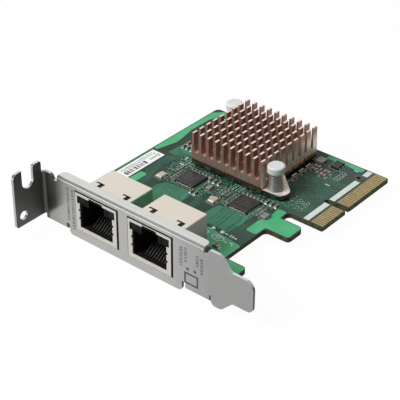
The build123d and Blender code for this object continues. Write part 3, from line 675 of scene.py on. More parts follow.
def makePartTree():
    tree, given = newTree("partTree", {"Part": "Object", "Finish": "Material", "Ends": "Material"})
    turn = made(tree, "GeometryNodeInputNamedAttribute", {"Name": "turn"}, data_type="FLOAT")
    about = made(tree, "ShaderNodeCombineXYZ", {"Z": turn})
    copies = {"Points": given["Geometry"], "Instance": objectShape(tree, given["Part"]), "Rotation": about}
    return endTree(tree, made(tree, "GeometryNodeInstanceOnPoints", copies), given["Finish"], given["Ends"])


def makeScatterTree():
    tree, given = newTree(
        "scatterTree",
        {"Part": "Object", "Gap": "Float", "Density": "Float", "Seed": "Int", "Finish": "Material",
         "Ends": "Material"},
    )
    spacing = {
        "Mesh": given["Geometry"], "Distance Min": given["Gap"], "Density Max": given["Density"],
        "Seed": given["Seed"],
    }
    points = made(tree, "GeometryNodeDistributePointsOnFaces", spacing, "Points", distribute_method="POISSON")
    copies = {"Points": points, "Instance": objectShape(tree, given["Part"])}
    return endTree(tree, made(tree, "GeometryNodeInstanceOnPoints", copies), given["Finish"], given["Ends"])


def makeCoilTree():
    tree, given = newTree(
        "coilTree",
        {"Turns": "Float", "Foot Radius": "Float", "Crown Radius": "Float", "Height": "Float", "Wire": "Float",
         "Finish": "Material"},
    )
    winding = {
        "Resolution": 24, "Rotations": given["Turns"], "Start Radius": given["Foot Radius"],
        "End Radius": given["Crown Radius"], "Height": given["Height"],
    }
    wire = made(tree, "GeometryNodeCurvePrimitiveCircle", {"Resolution": 8, "Radius": given["Wire"]})
    coil = sweptMesh(tree, made(tree, "GeometryNodeCurveSpiral", winding), wire)
    placed = made(tree, "GeometryNodeInstanceOnPoints", {"Points": given["Geometry"], "Instance": coil})
    return endTree(tree, placed, given["Finish"])


ribbonTree = makeRibbonTree()
patchTree = makePatchTree()
partTree = makePartTree()
scatterTree = makeScatterTree()
coilTree = makeCoilTree()
print("geometry trees built")


def ribbons(name, paths, look, under=False, closed=False):
    # flat strips on the board's top or underside
    height = look["height"] * mm
    level = boardBottom - height / 2 if under else boardTop + height / 2
    values = {
        "Path": pathObject(name + "Path", paths, level, closed), "Corner": look["corner"] * mm,
        "Width": look["width"] * mm, "Height": height, "Finish": finish[look["finish"]],
    }
    return growPiece(name, ribbonTree, values, "board_green")


def patches(name, look, level=boardTop, slotName="board_green"):
    # filled outlines that stand on a level in metres
    values = {
        "Outline": pathObject(name + "Outline", look["outlines"], 0.0, closed=True), "Corner": look["corner"] * mm,
        "Level": (0.0, 0.0, level), "Thickness": look["thickness"] * mm, "Finish": finish[look["finish"]],
    }
    return growPiece(name, patchTree, values, slotName)


def cornered(left, low, right, high):
    return [(left, low), (right, low), (right, high), (left, high)]


def rectangle(x, y, width, length):
    return cornered(x - width / 2, y - length / 2, x + width / 2, y + length / 2)


def ring(x, y, radius, steps=28):
    turns = [2 * math.pi * step / steps for step in range(steps)]
    return [(x + radius * math.cos(turn), y + radius * math.sin(turn)) for turn in turns]


# Copper under the mask: plain bright areas, paler squares behind the jacks

copperPours = {
    "thickness": 0.035, "corner": 0.8, "finish": "pourGreen",
    "outlines": [
        [(52.0, 31.0), (51.9, 36.8), (53.2, 41.8), (52.7, 46.1), (55.9, 46.1), (55.9, 42.3), (64.1, 42.3),
         (64.1, 35.6), (55.8, 35.6), (55.8, 31.0)],
        [(0.5, 48.4), (1.9, 48.4), (3.9, 55.9), (3.6, 59.0), (2.5, 65.2), (2.7, 74.0), (4.6, 78.4), (9.5, 81.2),
         (3.4, 81.2), (0.5, 78.4)],
        [(6.7, 29.9), (9.6, 29.9), (9.5, 35.3), (7.0, 35.3)],
        [(50.6, 3.6), (50.6, 17.6), (42.4, 17.6), (42.4, 25.4), (47.9, 24.6), (53.6, 23.9), (56.2, 23.4),
         (56.0, 16.1), (63.8, 16.1), (63.8, 3.6)],
        [(46.6, 79.0), (52.0, 79.6), (60.4, 79.2), (60.4, 81.2), (46.6, 81.2)],
    ],
}
patches("copper_pours", copperPours)

jackPours = {
    "thickness": 0.03, "corner": 0.6, "finish": "midGreen",
    "outlines": [
        [(15.9, 17.8), (28.2, 17.8), (28.2, 29.8), (26.3, 36.4), (17.3, 35.8), (15.9, 32.8)],
        [(36.9, 26.6), (49.0, 26.6), (49.0, 36.6), (37.6, 36.2)],
        [(5.9, 49.4), (8.2, 49.4), (14.6, 52.6), (14.6, 55.0), (6.2, 55.0)],
        cornered(0.3, 27.6, 1.1, 48.2),
        cornered(47.2, 47.6, 52.0, 53.6),
    ],
}
patches("jack_pours", jackPours)


# Traces: rows of parallel tracks, each with its middle path, count and pitch

traces = {
    "width": 0.22, "height": 0.03, "corner": 0.8, "finish": "traceGreen",
    "top": [
        ([(22.0, 18.2), (22.0, 30.5), (20.6, 33.0), (20.6, 37.0)], 4, 1.25),
        ([(16.9, 20.0), (16.9, 33.8), (18.6, 36.4)], 2, 0.55),
        ([(42.6, 26.4), (42.6, 31.0), (42.0, 33.2), (42.0, 36.6)], 4, 1.25),
        ([(47.8, 27.2), (47.8, 34.4), (46.4, 36.6)], 2, 0.55),
        ([(10.6, 19.0), (10.6, 34.0), (8.6, 38.0), (8.6, 47.0), (11.4, 50.4), (15.4, 50.4)], 5, 0.6),
        ([(7.2, 57.4), (7.2, 53.4), (9.4, 51.6), (15.0, 51.6)], 2, 0.7),
        ([(31.6, 18.2), (31.6, 34.0), (29.4, 36.6), (29.4, 39.2)], 4, 0.65),
        ([(46.6, 58.6), (52.4, 58.6), (56.0, 62.2), (60.8, 62.2)], 8, 0.85),
        ([(47.6, 66.6), (53.0, 66.6), (55.2, 68.8), (60.8, 68.8)], 4, 0.85),
        ([(48.4, 50.0), (54.0, 50.0), (56.0, 52.0), (60.8, 52.0)], 6, 0.8),
        ([(26.2, 42.6), (28.2, 44.2), (28.2, 48.0)], 4, 0.5),
        ([(40.0, 42.4), (37.8, 44.4), (37.8, 48.0)], 4, 0.5),
        ([(52.0, 18.0), (52.0, 23.2), (50.2, 25.4), (50.2, 33.0)], 3, 0.6),
    ],
    "under": [
        ([(63.4, 52.0), (55.0, 52.0), (50.0, 57.0), (40.0, 57.0)], 10, 0.9),
        ([(63.4, 69.0), (54.0, 69.0), (50.0, 65.0), (40.0, 65.0)], 12, 0.9),
        ([(22.0, 17.0), (22.0, 40.0), (26.0, 46.0), (26.0, 53.0)], 8, 0.9),
        ([(42.4, 17.0), (42.4, 40.0), (37.0, 46.0), (37.0, 53.0)], 8, 0.9),
        ([(8.0, 12.0), (8.0, 62.0), (14.0, 68.0), (20.0, 68.0)], 3, 0.8),
    ],
}


def shifted(path, distance):
    # a path moved sideways by a distance, with its corners kept parallel
    moved = []
    for number, (x, y) in enumerate(path):
        before = path[max(number - 1, 0)]
        after = path[min(number + 1, len(path) - 1)]
        sides = []
        for first, second in ((before, (x, y)), ((x, y), after)):
            dx, dy = second[0] - first[0], second[1] - first[1]
            length = math.hypot(dx, dy)
            if length > 0:
                sides.append(Vector((-dy / length, dx / length)))
        side = sum(sides, Vector((0, 0)))
        side = side / side.length
        side = side / max(side.dot(sides[0]), 0.4)
        moved.append((x + side.x * distance, y + side.y * distance))
    return moved


def bundles(rows):
    # the tracks of every row, spread evenly to both sides of its middle path
    return [
        shifted(path, (number - (count - 1) / 2) * pitch) for path, count, pitch in rows for number in range(count)
    ]


ribbons("signal_traces", bundles(traces["top"]), traces)
ribbons("underside_traces", bundles(traces["under"]), traces, under=True)


# Print on the board: connector strip, part outlines and plain marks

stripPrint = {
    "thickness": 0.03, "corner": 0.1, "finish": "screenInk",
    "outlines": [cornered(61.3, low, 63.2, high) for low, high in ((46.9, 57.9), (60.2, 74.0), (77.9, 81.2))],
}
patches("connector_strip", stripPrint)

holeRing = {"width": 1.0, "height": 0.04, "corner": 0.0, "finish": "darkMask", "circle": (61.5, 76.0, 1.25)}
ribbons("hole_ring", [ring(*holeRing["circle"])], holeRing, closed=True)


def solidBoxes(nodeName):
    # the boxes of the separate solids in a CAD node, from a merged copy of its mesh
    merged = bmesh.new()
    merged.from_mesh(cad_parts[nodeName].data)
    bmesh.ops.remove_doubles(merged, verts=merged.verts, dist=1e-6)
    waiting = set(merged.verts)
    boxes = []
    while waiting:
        reached = [waiting.pop()]
        solid = []
        while reached:
            vert = reached.pop()
            solid.append(vert.co.copy())
            for edge in vert.link_edges:
                other = edge.other_vert(vert)
                if other in waiting:
                    waiting.discard(other)
                    reached.append(other)
        boxes.append([Vector([end(co[axis] for co in solid) for axis in range(3)]) for end in (min, max)])
    merged.free()
    return sorted(boxes, key=lambda box: (round(box[0].x, 5), round(box[0].y, 5)))


# each CAD node's piece, the finish of its bodies and its slot
smallParts = {
    "ceramic_capacitors": ("solderedCeramics", "brownCeramic", "ceramic_tan"),
    "bulk_capacitors": ("solderedBulk", "brownCeramic", "ceramic_tan"),
    "filter_capacitors": ("solderedFilters", "brownCeramic", "ceramic_tan"),
    "chip_resistors": ("solderedResistors", "blackGlaze", "resistor_black"),
}
smallBoxes = {nodeName: solidBoxes(nodeName) for nodeName in smallParts}

partOutlines = {
    "width": 0.12, "height": 0.025, "corner": 0.12, "finish": "paleInk",
    "smallMargin": 0.32,
    "margins": {
        "left_network_chip": 0.75, "right_network_chip": 0.75, "left_crystal": 0.5, "right_crystal": 0.5,
        "memory_chip": 0.2, "power_inductor": 0.4, "core_inductor": 0.35, "edge_inductor": 0.4,
    },
    "empty": (55.4, 73.0, 4.4, 4.6),  # an outline with no part in it
}


def boxOutline(box, margin):
    low, high = [corner / mm for corner in box]
    return cornered(low.x - margin, low.y - margin, high.x + margin, high.y + margin)


outlines = [boxOutline(box, partOutlines["smallMargin"]) for boxes in smallBoxes.values() for box in boxes]
outlines += [boxOutline(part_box(nodeName), margin) for nodeName, margin in partOutlines["margins"].items()]
ribbons("part_outlines", outlines + [rectangle(*partOutlines["empty"])], partOutlines, closed=True)

markBars = [
    (49.2, 25.7, 1.2, 0.4), (50.7, 25.7, 0.4, 1.2), (51.6, 25.6, 0.4, 1.2), (52.6, 25.5, 0.9, 0.5),
    (43.6, 22.9, 0.4, 1.3), (44.6, 22.9, 0.4, 1.3), (44.1, 23.4, 1.4, 0.4), (47.9, 22.6, 0.5, 1.1),
    (48.9, 22.6, 0.5, 1.1), (51.4, 22.2, 1.0, 0.7), (52.9, 22.4, 0.5, 1.3), (53.9, 22.3, 0.5, 1.3),
    (53.4, 22.8, 1.5, 0.5), (13.0, 50.2, 0.4, 1.6), (14.0, 46.6, 1.8, 0.35), (33.0, 38.0, 0.35, 1.4),
    (56.2, 66.4, 1.8, 0.35), (58.6, 78.8, 1.6, 0.35),
]
plainMarks = {
    "thickness": 0.055, "corner": 0.12, "finish": "screenInk",
    "outlines": [[(43.6, 24.9), (45.2, 25.7), (43.8, 26.5)], ring(47.6, 25.7, 0.7, 12)]
    + [rectangle(*bar) for bar in markBars],
}
patches("board_marks", plainMarks)

ovalRing = {
    "width": 0.4, "height": 0.055, "corner": 0.0, "finish": "screenInk", "circle": (48.4, 22.6, 1.15), "stretch": 1.8,
}
ovalX = ovalRing["circle"][0]
oval = [(ovalX + (x - ovalX) * ovalRing["stretch"], y) for x, y in ring(*ovalRing["circle"])]
ribbons("mark_ring", [oval], ovalRing, closed=True)

# Pale tracks and rows of ticks beside the two network chips; each row has x, its two ends and a count
paleTracks = {
    "width": 0.17, "height": 0.036, "corner": 0.3, "finish": "specGreen", "pitch": 0.62,
    "rows": [(26.9, 31.6, 41.2, 3), (48.5, 31.0, 40.4, 3), (14.3, 39.2, 51.8, 1), (17.7, 46.2, 51.8, 1),
             (34.4, 39.2, 51.0, 1)],
}
paleTicks = {
    "width": 0.2, "height": 0.04, "corner": 0.0, "finish": "screenInk", "reach": 0.26, "pitch": 0.8,
    "rows": [(15.2, 43.4, 51.6), (16.4, 45.8, 51.2), (35.4, 45.6, 50.9), (36.6, 45.6, 50.4), (37.8, 45.8, 50.2)],
}
paleRows = [([(x, low), (x, high)], count, paleTracks["pitch"]) for x, low, high, count in paleTracks["rows"]]
ribbons("pale_tracks", bundles(paleRows), paleTracks)
reach, pitch = paleTicks["reach"], paleTicks["pitch"]
tickPaths = [
    [(x - reach, low + pitch * step), (x + reach, low + pitch * step)]
    for x, low, high in paleTicks["rows"] for step in range(int((high - low) / pitch))
]
ribbons("pale_ticks", tickPaths, paleTicks)

footDashes = {
    "thickness": 0.06, "corner": 0.1, "finish": "labelPaper",
    "outlines": [rectangle(44.85, y, 0.55, 2.4) for y in (64.65, 68.3, 71.95)],  # by the heatsink's right foot
}
patches("foot_dashes", footDashes)

underMarks = {
    "thickness": 0.03, "corner": 0.15, "finish": "screenInk",
    "outlines": [cornered(61.25, 46.9, 63.15, 57.9), cornered(61.25, 60.2, 63.15, 81.2)],
}
patches("underside_strip", underMarks, boardBottom - underMarks["thickness"] * mm)


# Blocks for the small parts; faces marked isTin take the second finish

slopeKnee = (0.35, 0.4)  # shares of a solder fillet's length and height
bevelShape = {"segments": 2, "profile": 0.6}


def startPart():
    part = bmesh.new()
    part.faces.layers.float.new("isTin")
    return part


def addBlock(part, low, high, bevel=0.0, tin=0.0):
    # a block between two corners in millimetres
    before = set(part.faces)
    corners = bmesh.ops.create_cube(part, size=1.0)["verts"]
    for vert in corners:
        vert.co = Vector([low[axis] + (vert.co[axis] + 0.5) * (high[axis] - low[axis]) for axis in range(3)]) * mm
    if bevel > 0:
        edges = {edge for vert in corners for edge in vert.link_edges}
        bmesh.ops.bevel(part, geom=list(edges), offset=bevel * mm, affect="EDGES", **bevelShape)
    layer = part.faces.layers.float["isTin"]
    for face in part.faces:
        if face not in before:
            face[layer] = tin


def addSlope(part, start, end, width, height):
    # a solder fillet: a wedge that falls from start to end along X, hollowed by a knee
    layer = part.faces.layers.float["isTin"]
    knee = (start + (end - start) * slopeKnee[0], height * slopeKnee[1])
    section = [(start, 0.0), (end, 0.0), knee, (start, height)]
    rows = [[part.verts.new(Vector((x, side * width / 2, z)) * mm) for x, z in section] for side in (-1, 1)]
    faces = [part.faces.new(rows[0]), part.faces.new(rows[1][::-1])]
    for number in range(4):
        after = (number + 1) % 4
        faces.append(part.faces.new((rows[0][number], rows[1][number], rows[1][after], rows[0][after])))
    bmesh.ops.recalc_face_normals(part, faces=faces)
    for face in faces:
        face[layer] = 1.0


def endPart(part, name):
    mesh = bpy.data.meshes.new(name)
    part.to_mesh(mesh)
    part.free()
    return newObject(name, mesh, hidden=True)


solderedPart = {
    # shares of the part's length, width or height
    "end": 0.22, "bodyHeight": 0.93, "bodyBevel": 0.05, "endBevel": 0.12,
    "slope": 0.28, "slopeWidth": 0.92, "slopeHeight": 0.6, "padWidth": 1.1,
    # millimetres
    "lap": 0.02, "lift": 0.06, "endLift": 0.02, "slopeMore": 0.12, "padMore": 0.2, "padHeight": 0.04,
}


def twoEndedPart(name, length, width, height):
    look = solderedPart
    lap = look["lap"]
    half = length / 2
    endStart = half - look["end"] * length
    slopeEnd = half + look["slope"] * height
    bodyX, bodyY = endStart + lap, width / 2 - lap
    part = startPart()
    addBlock(part, (-bodyX, -bodyY, look["lift"]), (bodyX, bodyY, look["bodyHeight"] * height),
             bevel=look["bodyBevel"] * height)
    for way in (-1, 1):
        inner, outer = sorted((way * endStart, way * half))
        addBlock(part, (inner, -width / 2, look["endLift"]), (outer, width / 2, height),
                 bevel=look["endBevel"] * height, tin=1.0)
        addSlope(part, way * (half - lap), way * (slopeEnd + look["slopeMore"]), look["slopeWidth"] * width,
                 look["slopeHeight"] * height)
        inner, outer = sorted((way * endStart, way * (slopeEnd + look["padMore"])))
        padSide = look["padWidth"] * width / 2
        addBlock(part, (inner, -padSide, 0.0), (outer, padSide, look["padHeight"]), tin=1.0)
    return endPart(part, name)


def blockPart(name, look, tin=1.0):
    # the blocks of a look, each two corners and a bevel, and its solder fillet where it has one
    part = startPart()
    for low, high, bevel in look["blocks"]:
        addBlock(part, low, high, bevel, tin)
    if "slope" in look:
        addSlope(part, *look["slope"])
    return endPart(part, name)


def pointHost(name, places):
    # places: x, y, z in metres and a turn in radians
    mesh = bpy.data.meshes.new(name)
    mesh.from_pydata([place[:3] for place in places], [], [])
    turns = mesh.attributes.new("turn", "FLOAT", "POINT")
    turns.data.foreach_set("value", [place[3] for place in places])
    return mesh


def placeParts(name, places, part, look, slotName, *replaced):
    values = {"Part": part, "Finish": finish[look], "Ends": finish["bareTin"]}
    return growPiece(name, partTree, values, slotName, *replaced, host=pointHost(name + "Host", places))


for nodeName, (pieceName, look, slotName) in smallParts.items():
    places = []
    for low, high in smallBoxes[nodeName]:
        size = (high - low) / mm
        middle = (low + high) / 2
        places.append((middle.x, middle.y, boardTop, 0.0 if size.x > size.y else math.pi / 2))
    part = twoEndedPart(pieceName + "Part", max(size.x, size.y), min(size.x, size.y), size.z)
    placeParts(pieceName, places, part, look, slotName, nodeName)


# Chip pads round the flat chips, and side ends on the inductors and crystals

chipPads = {
    "count": 12, "pitch": 0.5,
    "blocks": [((-0.28, -0.135, 0.0), (0.34, 0.135, 0.05), 0.0)],
    "slope": (0.01, 0.272, 0.243, 0.22),  # start, end, width and height
}
padPlaces = []
for nodeName in ("left_network_chip", "right_network_chip"):
    low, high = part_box(nodeName)
    middle = (low + high) / 2
    half = (high.x - low.x) / 2
    for quarter in range(4):
        turn = quarter * math.pi / 2
        for number in range(chipPads["count"]):
            along = (number - (chipPads["count"] - 1) / 2) * chipPads["pitch"] * mm
            spot = Matrix.Rotation(turn, 2) @ Vector((half, along))
            padPlaces.append((middle.x + spot.x, middle.y + spot.y, boardTop, turn))
placeParts("chip_pads", padPlaces, blockPart("chipPadPart", chipPads), "bareTin", "solder_tin")

inductorEnds = {"blocks": [((0.0, -0.6, 0.0), (0.45, 0.6, 0.06), 0.0), ((0.0, -0.5, 0.0), (0.12, 0.5, 0.55), 0.03)]}
endPlaces = []
for nodeName in ("power_inductor", "core_inductor", "edge_inductor", "left_crystal", "right_crystal"):
    low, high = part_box(nodeName)
    middle = (low + high) / 2
    for way, turn in ((1, 0.0), (-1, math.pi)):
        endPlaces.append((middle.x + way * (high.x - low.x) / 2, middle.y, boardTop, turn))
placeParts("inductor_ends", endPlaces, blockPart("inductorEndPart", inductorEnds), "bareTin", "solder_tin")


# Plated vias, test pads and fine specks, scattered over the crowded areas
# An area has its centre x and y, its width and its length; density is per square metre

vias = {
    "radius": 0.27, "bore": 0.12, "taper": 0.9, "height": 0.05, "steps": 10, "gap": 1.05, "density": 900000.0,
    "areas": [(29.0, 18.4, 12.5, 11.5), (20.0, 47.6, 24.0, 2.2), (11.6, 42.0, 4.0, 8.0), (32.2, 43.4, 6.6, 5.6),
              (54.4, 59.0, 11.0, 22.0), (11.0, 57.0, 5.0, 12.0), (24.6, 27.6, 6.0, 16.0), (45.4, 30.4, 6.4, 10.6)],
}
testPads = {
    "gap": 0.95, "density": 1000000.0,
    "blocks": [((-0.32, -0.16, 0.0), (-0.06, 0.16, 0.05), 0.0), ((0.06, -0.16, 0.0), (0.32, 0.16, 0.05), 0.0)],
    "areas": [(13.4, 43.6, 4.6, 3.4), (20.0, 48.2, 14.0, 2.6), (33.4, 41.2, 3.4, 4.0), (41.0, 47.8, 11.0, 2.0),
              (49.6, 43.4, 3.6, 6.4), (17.3, 37.6, 2.4, 2.2), (38.2, 37.6, 2.4, 2.2), (46.8, 38.0, 2.4, 6.0),
              (28.6, 42.6, 3.4, 4.6), (55.4, 52.6, 6.0, 5.0)],
}
specks = {
    "gap": 0.5, "density": 2600000.0, "blocks": [((-0.15, -0.075, 0.0), (0.15, 0.075, 0.04), 0.0)],
    "areas": [(30.6, 49.8, 30.0, 3.6), (13.2, 46.6, 3.4, 9.6), (32.4, 43.4, 6.6, 8.4), (48.8, 45.4, 3.0, 8.4),
              (15.8, 39.4, 5.4, 3.2), (37.6, 38.6, 3.6, 3.4), (28.4, 39.2, 3.4, 9.0), (54.6, 51.6, 8.0, 5.4)],
}


def viaPart():
    # a flat ring whose floor takes the second finish
    part = startPart()
    layer = part.faces.layers.float["isTin"]
    radius, bore, taper, height, steps = [vias[name] for name in ("radius", "bore", "taper", "height", "steps")]
    rims = [
        [part.verts.new(Vector((x, y, level)) * mm) for x, y in ring(0.0, 0.0, size, steps)]
        for size, level in ((radius, 0.0), (radius * taper, height), (bore, height), (bore * taper, 0.0))
    ]
    for lower, upper in zip(rims, rims[1:]):
        for step in range(steps):
            after = (step + 1) % steps
            part.faces.new((lower[step], lower[after], upper[after], upper[step]))
    part.faces.new(rims[-1])[layer] = 1.0
    part.faces.new(rims[0][::-1])
    return endPart(part, "viaPart")


def areaHost(name, areas):
    # a flat face on the board for each area
    corners = [(x * mm, y * mm, boardTop) for area in areas for x, y in rectangle(*area)]
    mesh = bpy.data.meshes.new(name)
    mesh.from_pydata(corners, [], [range(first, first + 4) for first in range(0, len(corners), 4)])
    return mesh


def scatter(name, part, look, seed, body, ends, slotName, sparser=1.0):
    # body and ends name the two finishes; sparser widens the look's gap
    values = {
        "Part": part, "Gap": look["gap"] * mm * sparser, "Density": look["density"], "Seed": seed,
        "Finish": finish[body], "Ends": finish[ends],
    }
    return growPiece(name, scatterTree, values, slotName, host=areaHost(name + "Areas", look["areas"]))


scatter("plated_vias", viaPart(), vias, 11, "traceGreen", "darkMask", "board_green")
scatter("test_pads", blockPart("testPadPart", testPads), testPads, 5, "bareTin", "bareTin", "solder_tin")
for pieceName, seed, look, sparser in (
    ("green_specks", 17, "specGreen", 1.0), ("dark_specks", 29, "darkMask", 1.0),
    ("pale_specks", 41, "screenInk", 2.2),
):
    scatter(pieceName, blockPart("speckPart", specks, tin=0.0), specks, seed, look, look, "board_green", sparser)


# Push-pin springs: conical wire coils between each ear and head

springs = {"turns": 8.5, "foot": 2.36, "crown": 1.6, "wire": 0.27}
wire = springs["wire"] * mm
springPlaces = []
for nodeName in ("front_pin_spring", "rear_pin_spring"):
    low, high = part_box(nodeName)
    springPlaces.append(((low.x + high.x) / 2, (low.y + high.y) / 2, low.z + wire, 0.0))
winding = {
    "Turns": springs["turns"], "Foot Radius": springs["foot"] * mm, "Crown Radius": springs["crown"] * mm,
    "Height": high.z - low.z - 2 * wire, "Wire": wire, "Finish": finish["springWire"],
}
coils = growPiece("coil_springs", coilTree, winding, "spring_steel", "front_pin_spring", "rear_pin_spring",
                  host=pointHost("springHost", springPlaces))
for polygon in coils.data.polygons:
    polygon.use_smooth = True


# Label print: plain bars and dashes, placed from the label's edges

labelPrint = {
    "thickness": 0.012, "corner": 0.02, "finish": "labelInk", "seed": 21,
    "barInset": 1.7, "barWidth": 1.9, "bars": (0.24, 0.4, 0.7), "barGaps": (0.2, 0.3, 0.5), "barEnds": (1.0, 6.6),
    "dashInsets": (1.0, 1.75), "dashWidth": 0.34, "dashes": (0.25, 0.7), "dashGaps": (0.14, 0.4),
    "dashEnds": (1.2, 1.6),
    "lineCount": 7, "lineInset": 1.0, "linePitch": 0.66, "lines": (0.9, 2.1), "lineBreadth": 0.26,
}


def dashes(dice, start, end, lengths, gaps):
    # the middle and the length of each dash in a row
    while start < end:
        length = dice.uniform(*lengths)
        yield start + length / 2, length
        start += length + dice.uniform(*gaps)


def labelShapes(look):
    dice = random.Random(look["seed"])
    low, high = [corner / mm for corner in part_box("paper_label")]
    barX = high.x - look["barInset"]
    shapes = []
    spot = low.y + look["barEnds"][0]
    while spot < high.y - look["barEnds"][1]:
        breadth = dice.choice(look["bars"])
        shapes.append(rectangle(barX, spot, look["barWidth"], breadth))
        spot += breadth + dice.choice(look["barGaps"])
    start, end = low.y + look["dashEnds"][0], high.y - look["dashEnds"][1]
    for inset in look["dashInsets"]:
        for spot, length in dashes(dice, start, end, look["dashes"], look["dashGaps"]):
            shapes.append(rectangle(low.x + inset, spot, look["dashWidth"], length))
    for number in range(look["lineCount"]):
        spot = high.y - look["lineInset"] - number * look["linePitch"]
        shapes.append(rectangle(barX, spot, dice.uniform(*look["lines"]), look["lineBreadth"]))
    return shapes


labelPrint["outlines"] = labelShapes(labelPrint)
patches("label_print", labelPrint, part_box("paper_label")[1].z, "paper_white")


# Print on the bracket's front face, painted shade in the gaps round its openings, and the shields' windows with
# painted shade

panelPrint = {
    "thickness": 0.012, "seed": 8,
    "square": (55.15, 3.75, 59.6, 7.05), "stroke": 0.6,
    "dots": [(56.1, 8.6, 0.52, 14), (58.7, 8.7, 0.52, 14)],
    "columnWidth": 1.05, "dashes": (0.3, 0.8), "dashGaps": (0.22, 0.5),
    "columns": [(10.4, 4.8, 15.6), (12.3, 2.3, 16.0), (53.7, 8.7, 14.6), (55.3, 10.6, 15.6), (59.5, 10.9, 14.8),
                (61.1, 8.9, 13.6)],
}
# painted shade in the gaps round each opening: boxes measured from the left side of each jack, above and right of the
# shield, and between the light pipes
portGapShades = {
    "jacks": (13.45, 33.95),
    "boxes": [(0.1, 15.98, 16.9, 16.46), (16.22, 3.0, 16.9, 15.98), (5.5, 14.95, 10.4, 15.7)],
}
# the metal beside each spring window, a tongue in painted shade and a bar of painted shade for the open window,
# measured from the window's middle
windows = {
    "middles": (16.35, 26.65, 36.85, 47.15),
    "window_covers": ((-0.95, 6.4, -0.1, 7.6), "tinShield"),
    "window_tongues": ((-0.1, 6.05, 1.4, 7.6), "smokedPipeAndShade"),
    "window_bars": ((-1.3, 7.6, 1.45, 8.15), "paintedGapShade"),
}


def flatPiece(name, shapes, look, slotName, thickness, level=None):
    # thin prisms from flat outlines: facing up at a level in metres, or else standing on the front face
    cut = bmesh.new()
    for shape in shapes:
        face = cut.faces.new([cut.verts.new((x * mm, y * mm, 0.0)) for x, y in shape])
        for item in bmesh.ops.extrude_face_region(cut, geom=[face])["geom"]:
            if isinstance(item, bmesh.types.BMVert):
                item.co.z += thickness * mm
    bmesh.ops.recalc_face_normals(cut, faces=cut.faces)
    if level is None:
        cut.transform(Matrix.Rotation(math.pi / 2, 4, "X"))
    mesh = bpy.data.meshes.new(name)
    cut.to_mesh(mesh)
    cut.free()
    if level is not None:
        mesh.transform(Matrix.Translation((0.0, 0.0, level)))
    mesh.materials.append(finish[look])
    return keepPiece(name, mesh, slotName)


def repeated(places, boxes):
    return [cornered(x + left, low, x + right, high) for x in places for left, low, right, high in boxes]


def columnShapes(look):
    dice = random.Random(look["seed"])
    return [
        rectangle(x, spot, look["columnWidth"], length)
        for x, start, end in look["columns"]
        for spot, length in dashes(dice, start, end, look["dashes"], look["dashGaps"])
    ]


left, low, right, high = panelPrint["square"]
stroke = panelPrint["stroke"]
panelShapes = [rectangle(x, (low + high) / 2, stroke, high - low + stroke) for x in (left, right)]
panelShapes += [rectangle((left + right) / 2, z, right - left - stroke, stroke) for z in (low, high)]
panelShapes += [ring(*dot) for dot in panelPrint["dots"]]
thickness = panelPrint["thickness"]
flatPiece("panel_print", panelShapes, "panelInk", "bracket_steel", thickness)
flatPiece("panel_columns", columnShapes(panelPrint), "columnInk", "bracket_steel", thickness)
# painted shade in the gaps round the openings
flatPiece("port_gaps", repeated(portGapShades["jacks"], portGapShades["boxes"]), "paintedGapShade", "bracket_steel", thickness)

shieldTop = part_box("left_jack_shield")[1].z
for pieceName in ("window_covers", "window_tongues", "window_bars"):
    box, look = windows[pieceName]
    flatPiece(pieceName, repeated(windows["middles"], [box]), look, "shield_steel", thickness, shieldTop)


# Pale laser marks on the chips, placed from the chip's edges

chipPrint = {
    "thickness": 0.006, "seed": 3, "rows": 3, "topInset": 2.4, "pitch": 1.2, "breadth": 0.42, "ends": (1.6, 1.8),
    "dashes": (0.2, 0.55), "dashGaps": (0.14, 0.35),
}


def chipShapes(look):
    dice = random.Random(look["seed"])
    shapes = []
    for nodeName in ("left_network_chip", "right_network_chip"):
        low, high = [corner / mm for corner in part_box(nodeName)]
        start, end = low.x + look["ends"][0], high.x - look["ends"][1]
        for row in range(look["rows"]):
            y = high.y - look["topInset"] - row * look["pitch"]
            for spot, length in dashes(dice, start, end, look["dashes"], look["dashGaps"]):
                shapes.append(rectangle(spot, y, length, look["breadth"]))
    return shapes


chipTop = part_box("left_network_chip")[1].z
flatPiece("chip_marks", chipShapes(chipPrint), "chipInk", "chip_black", chipPrint["thickness"], chipTop)


# Stage: a white floor that keeps the shadow, a plain world and soft lamps

stage = {
    "floorSize": 3.0,       # metres
    "floorColor": (0.22, 0.22, 0.22),
    "floorRoughness": 0.9,
    "floorLift": 0.88,      # how much of what the camera sees of the floor is plain white
    "floorGlow": 1.095,
    "skyColor": (0.95, 0.97, 1.0),
    "ambient": 0.06,        # strength of the world's light
    "lamps": {              # places in metres from the card's middle
        "keyLamp": {"place": (-0.35, -0.62, 0.70), "size": 0.5, "power": 10.4},
        "topLamp": {"place": (-0.10, -0.15, 0.90), "size": 0.9, "power": 3.4},
    },
}
cardMiddle = (cadLow + cadHigh) / 2


def seenWhite(tree):
    # 1 for what the camera, mirrors and glass see
    rays = addNode(tree, "ShaderNodeLightPath").outputs
    seen = maths(tree, "MAXIMUM", rays["Is Camera Ray"], rays["Is Glossy Ray"])
    return maths(tree, "MAXIMUM", seen, rays["Is Transmission Ray"])


def mixShaders(tree, factor, lit, plain, end):
    # shows the second shader by the factor
    mixed = made(tree, "ShaderNodeMixShader", {0: factor, 1: lit.outputs[0], 2: plain})
    fill(tree, tree.nodes[end].inputs["Surface"], mixed)


floorMaterial, floorTree = startMaterial("paleFloor")
floorShader = floorTree.nodes["Principled BSDF"]
floorShader.inputs["Base Color"].default_value = rgb(*stage["floorColor"])
floorShader.inputs["Roughness"].default_value = stage["floorRoughness"]
glow = made(floorTree, "ShaderNodeEmission", {"Color": white, "Strength": stage["floorGlow"]})
floorWhite = times(floorTree, seenWhite(floorTree), stage["floorLift"])
mixShaders(floorTree, floorWhite, floorShader, glow, "Material Output")

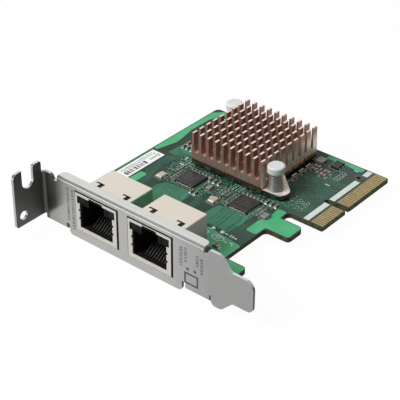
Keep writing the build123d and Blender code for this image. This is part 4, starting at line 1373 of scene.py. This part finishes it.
floorMesh = bpy.data.meshes.new("floor")
floorCorners = rectangle(cardMiddle.x, cardMiddle.y, stage["floorSize"], stage["floorSize"])
floorMesh.from_pydata([(x, y, cadLow.z) for x, y in floorCorners], [], [(0, 1, 2, 3)])
floorMesh.materials.append(floorMaterial)
floor = newObject("floor", floorMesh)

world = bpy.data.worlds.new("plainWorld")
bpy.context.scene.world = world
world.use_nodes = True
worldTree = world.node_tree
sky = worldTree.nodes["Background"]
sky.inputs["Color"].default_value = rgb(*stage["skyColor"])
sky.inputs["Strength"].default_value = stage["ambient"]
plainSky = made(worldTree, "ShaderNodeBackground", {"Color": white, "Strength": 1.0})
mixShaders(worldTree, seenWhite(worldTree), sky, plainSky, "World Output")

for lampName, lamp in stage["lamps"].items():
    light = bpy.data.lights.new(lampName, "AREA")
    light.shape = "DISK"
    light.size = lamp["size"]
    light.energy = lamp["power"]
    lampObject = newObject(lampName, light)
    lampObject.location = cardMiddle + Vector(lamp["place"])
    lampObject.rotation_euler = (cardMiddle - lampObject.location).to_track_quat("-Z", "Y").to_euler()


# Camera, in the photograph's place

cameraView = {
    "azimuth": 39.787,      # degrees, from -Y towards +X
    "elevation": 33.359,
    "roll": 0.258,
    "place": (243.60, -219.98, 221.51),
    "focal": 117.78,
    "sensor": 36.0,
    "clip": (0.01, 20.0),   # metres
}
turnAngle, riseAngle, rollAngle = [math.radians(cameraView[name]) for name in ("azimuth", "elevation", "roll")]
backward = Vector((
    math.sin(turnAngle) * math.cos(riseAngle), -math.cos(turnAngle) * math.cos(riseAngle), math.sin(riseAngle)))
level = Vector((math.cos(turnAngle), math.sin(turnAngle), 0.0))
steep = backward.cross(level)
sideways = level * math.cos(rollAngle) + steep * math.sin(rollAngle)
upward = backward.cross(sideways)
cameraData = bpy.data.cameras.new("photoCamera")
cameraData.sensor_width = cameraView["sensor"]
cameraData.lens = cameraView["focal"]
cameraData.clip_start, cameraData.clip_end = cameraView["clip"]
camera = newObject("photoCamera", cameraData)
turned = Matrix((sideways, upward, backward)).transposed().to_4x4()
camera.matrix_world = Matrix.Translation(Vector(cameraView["place"]) * mm) @ turned
bpy.context.scene.camera = camera
bpy.context.scene.view_settings.view_transform = "Standard"
print("stage, lamps and camera placed")
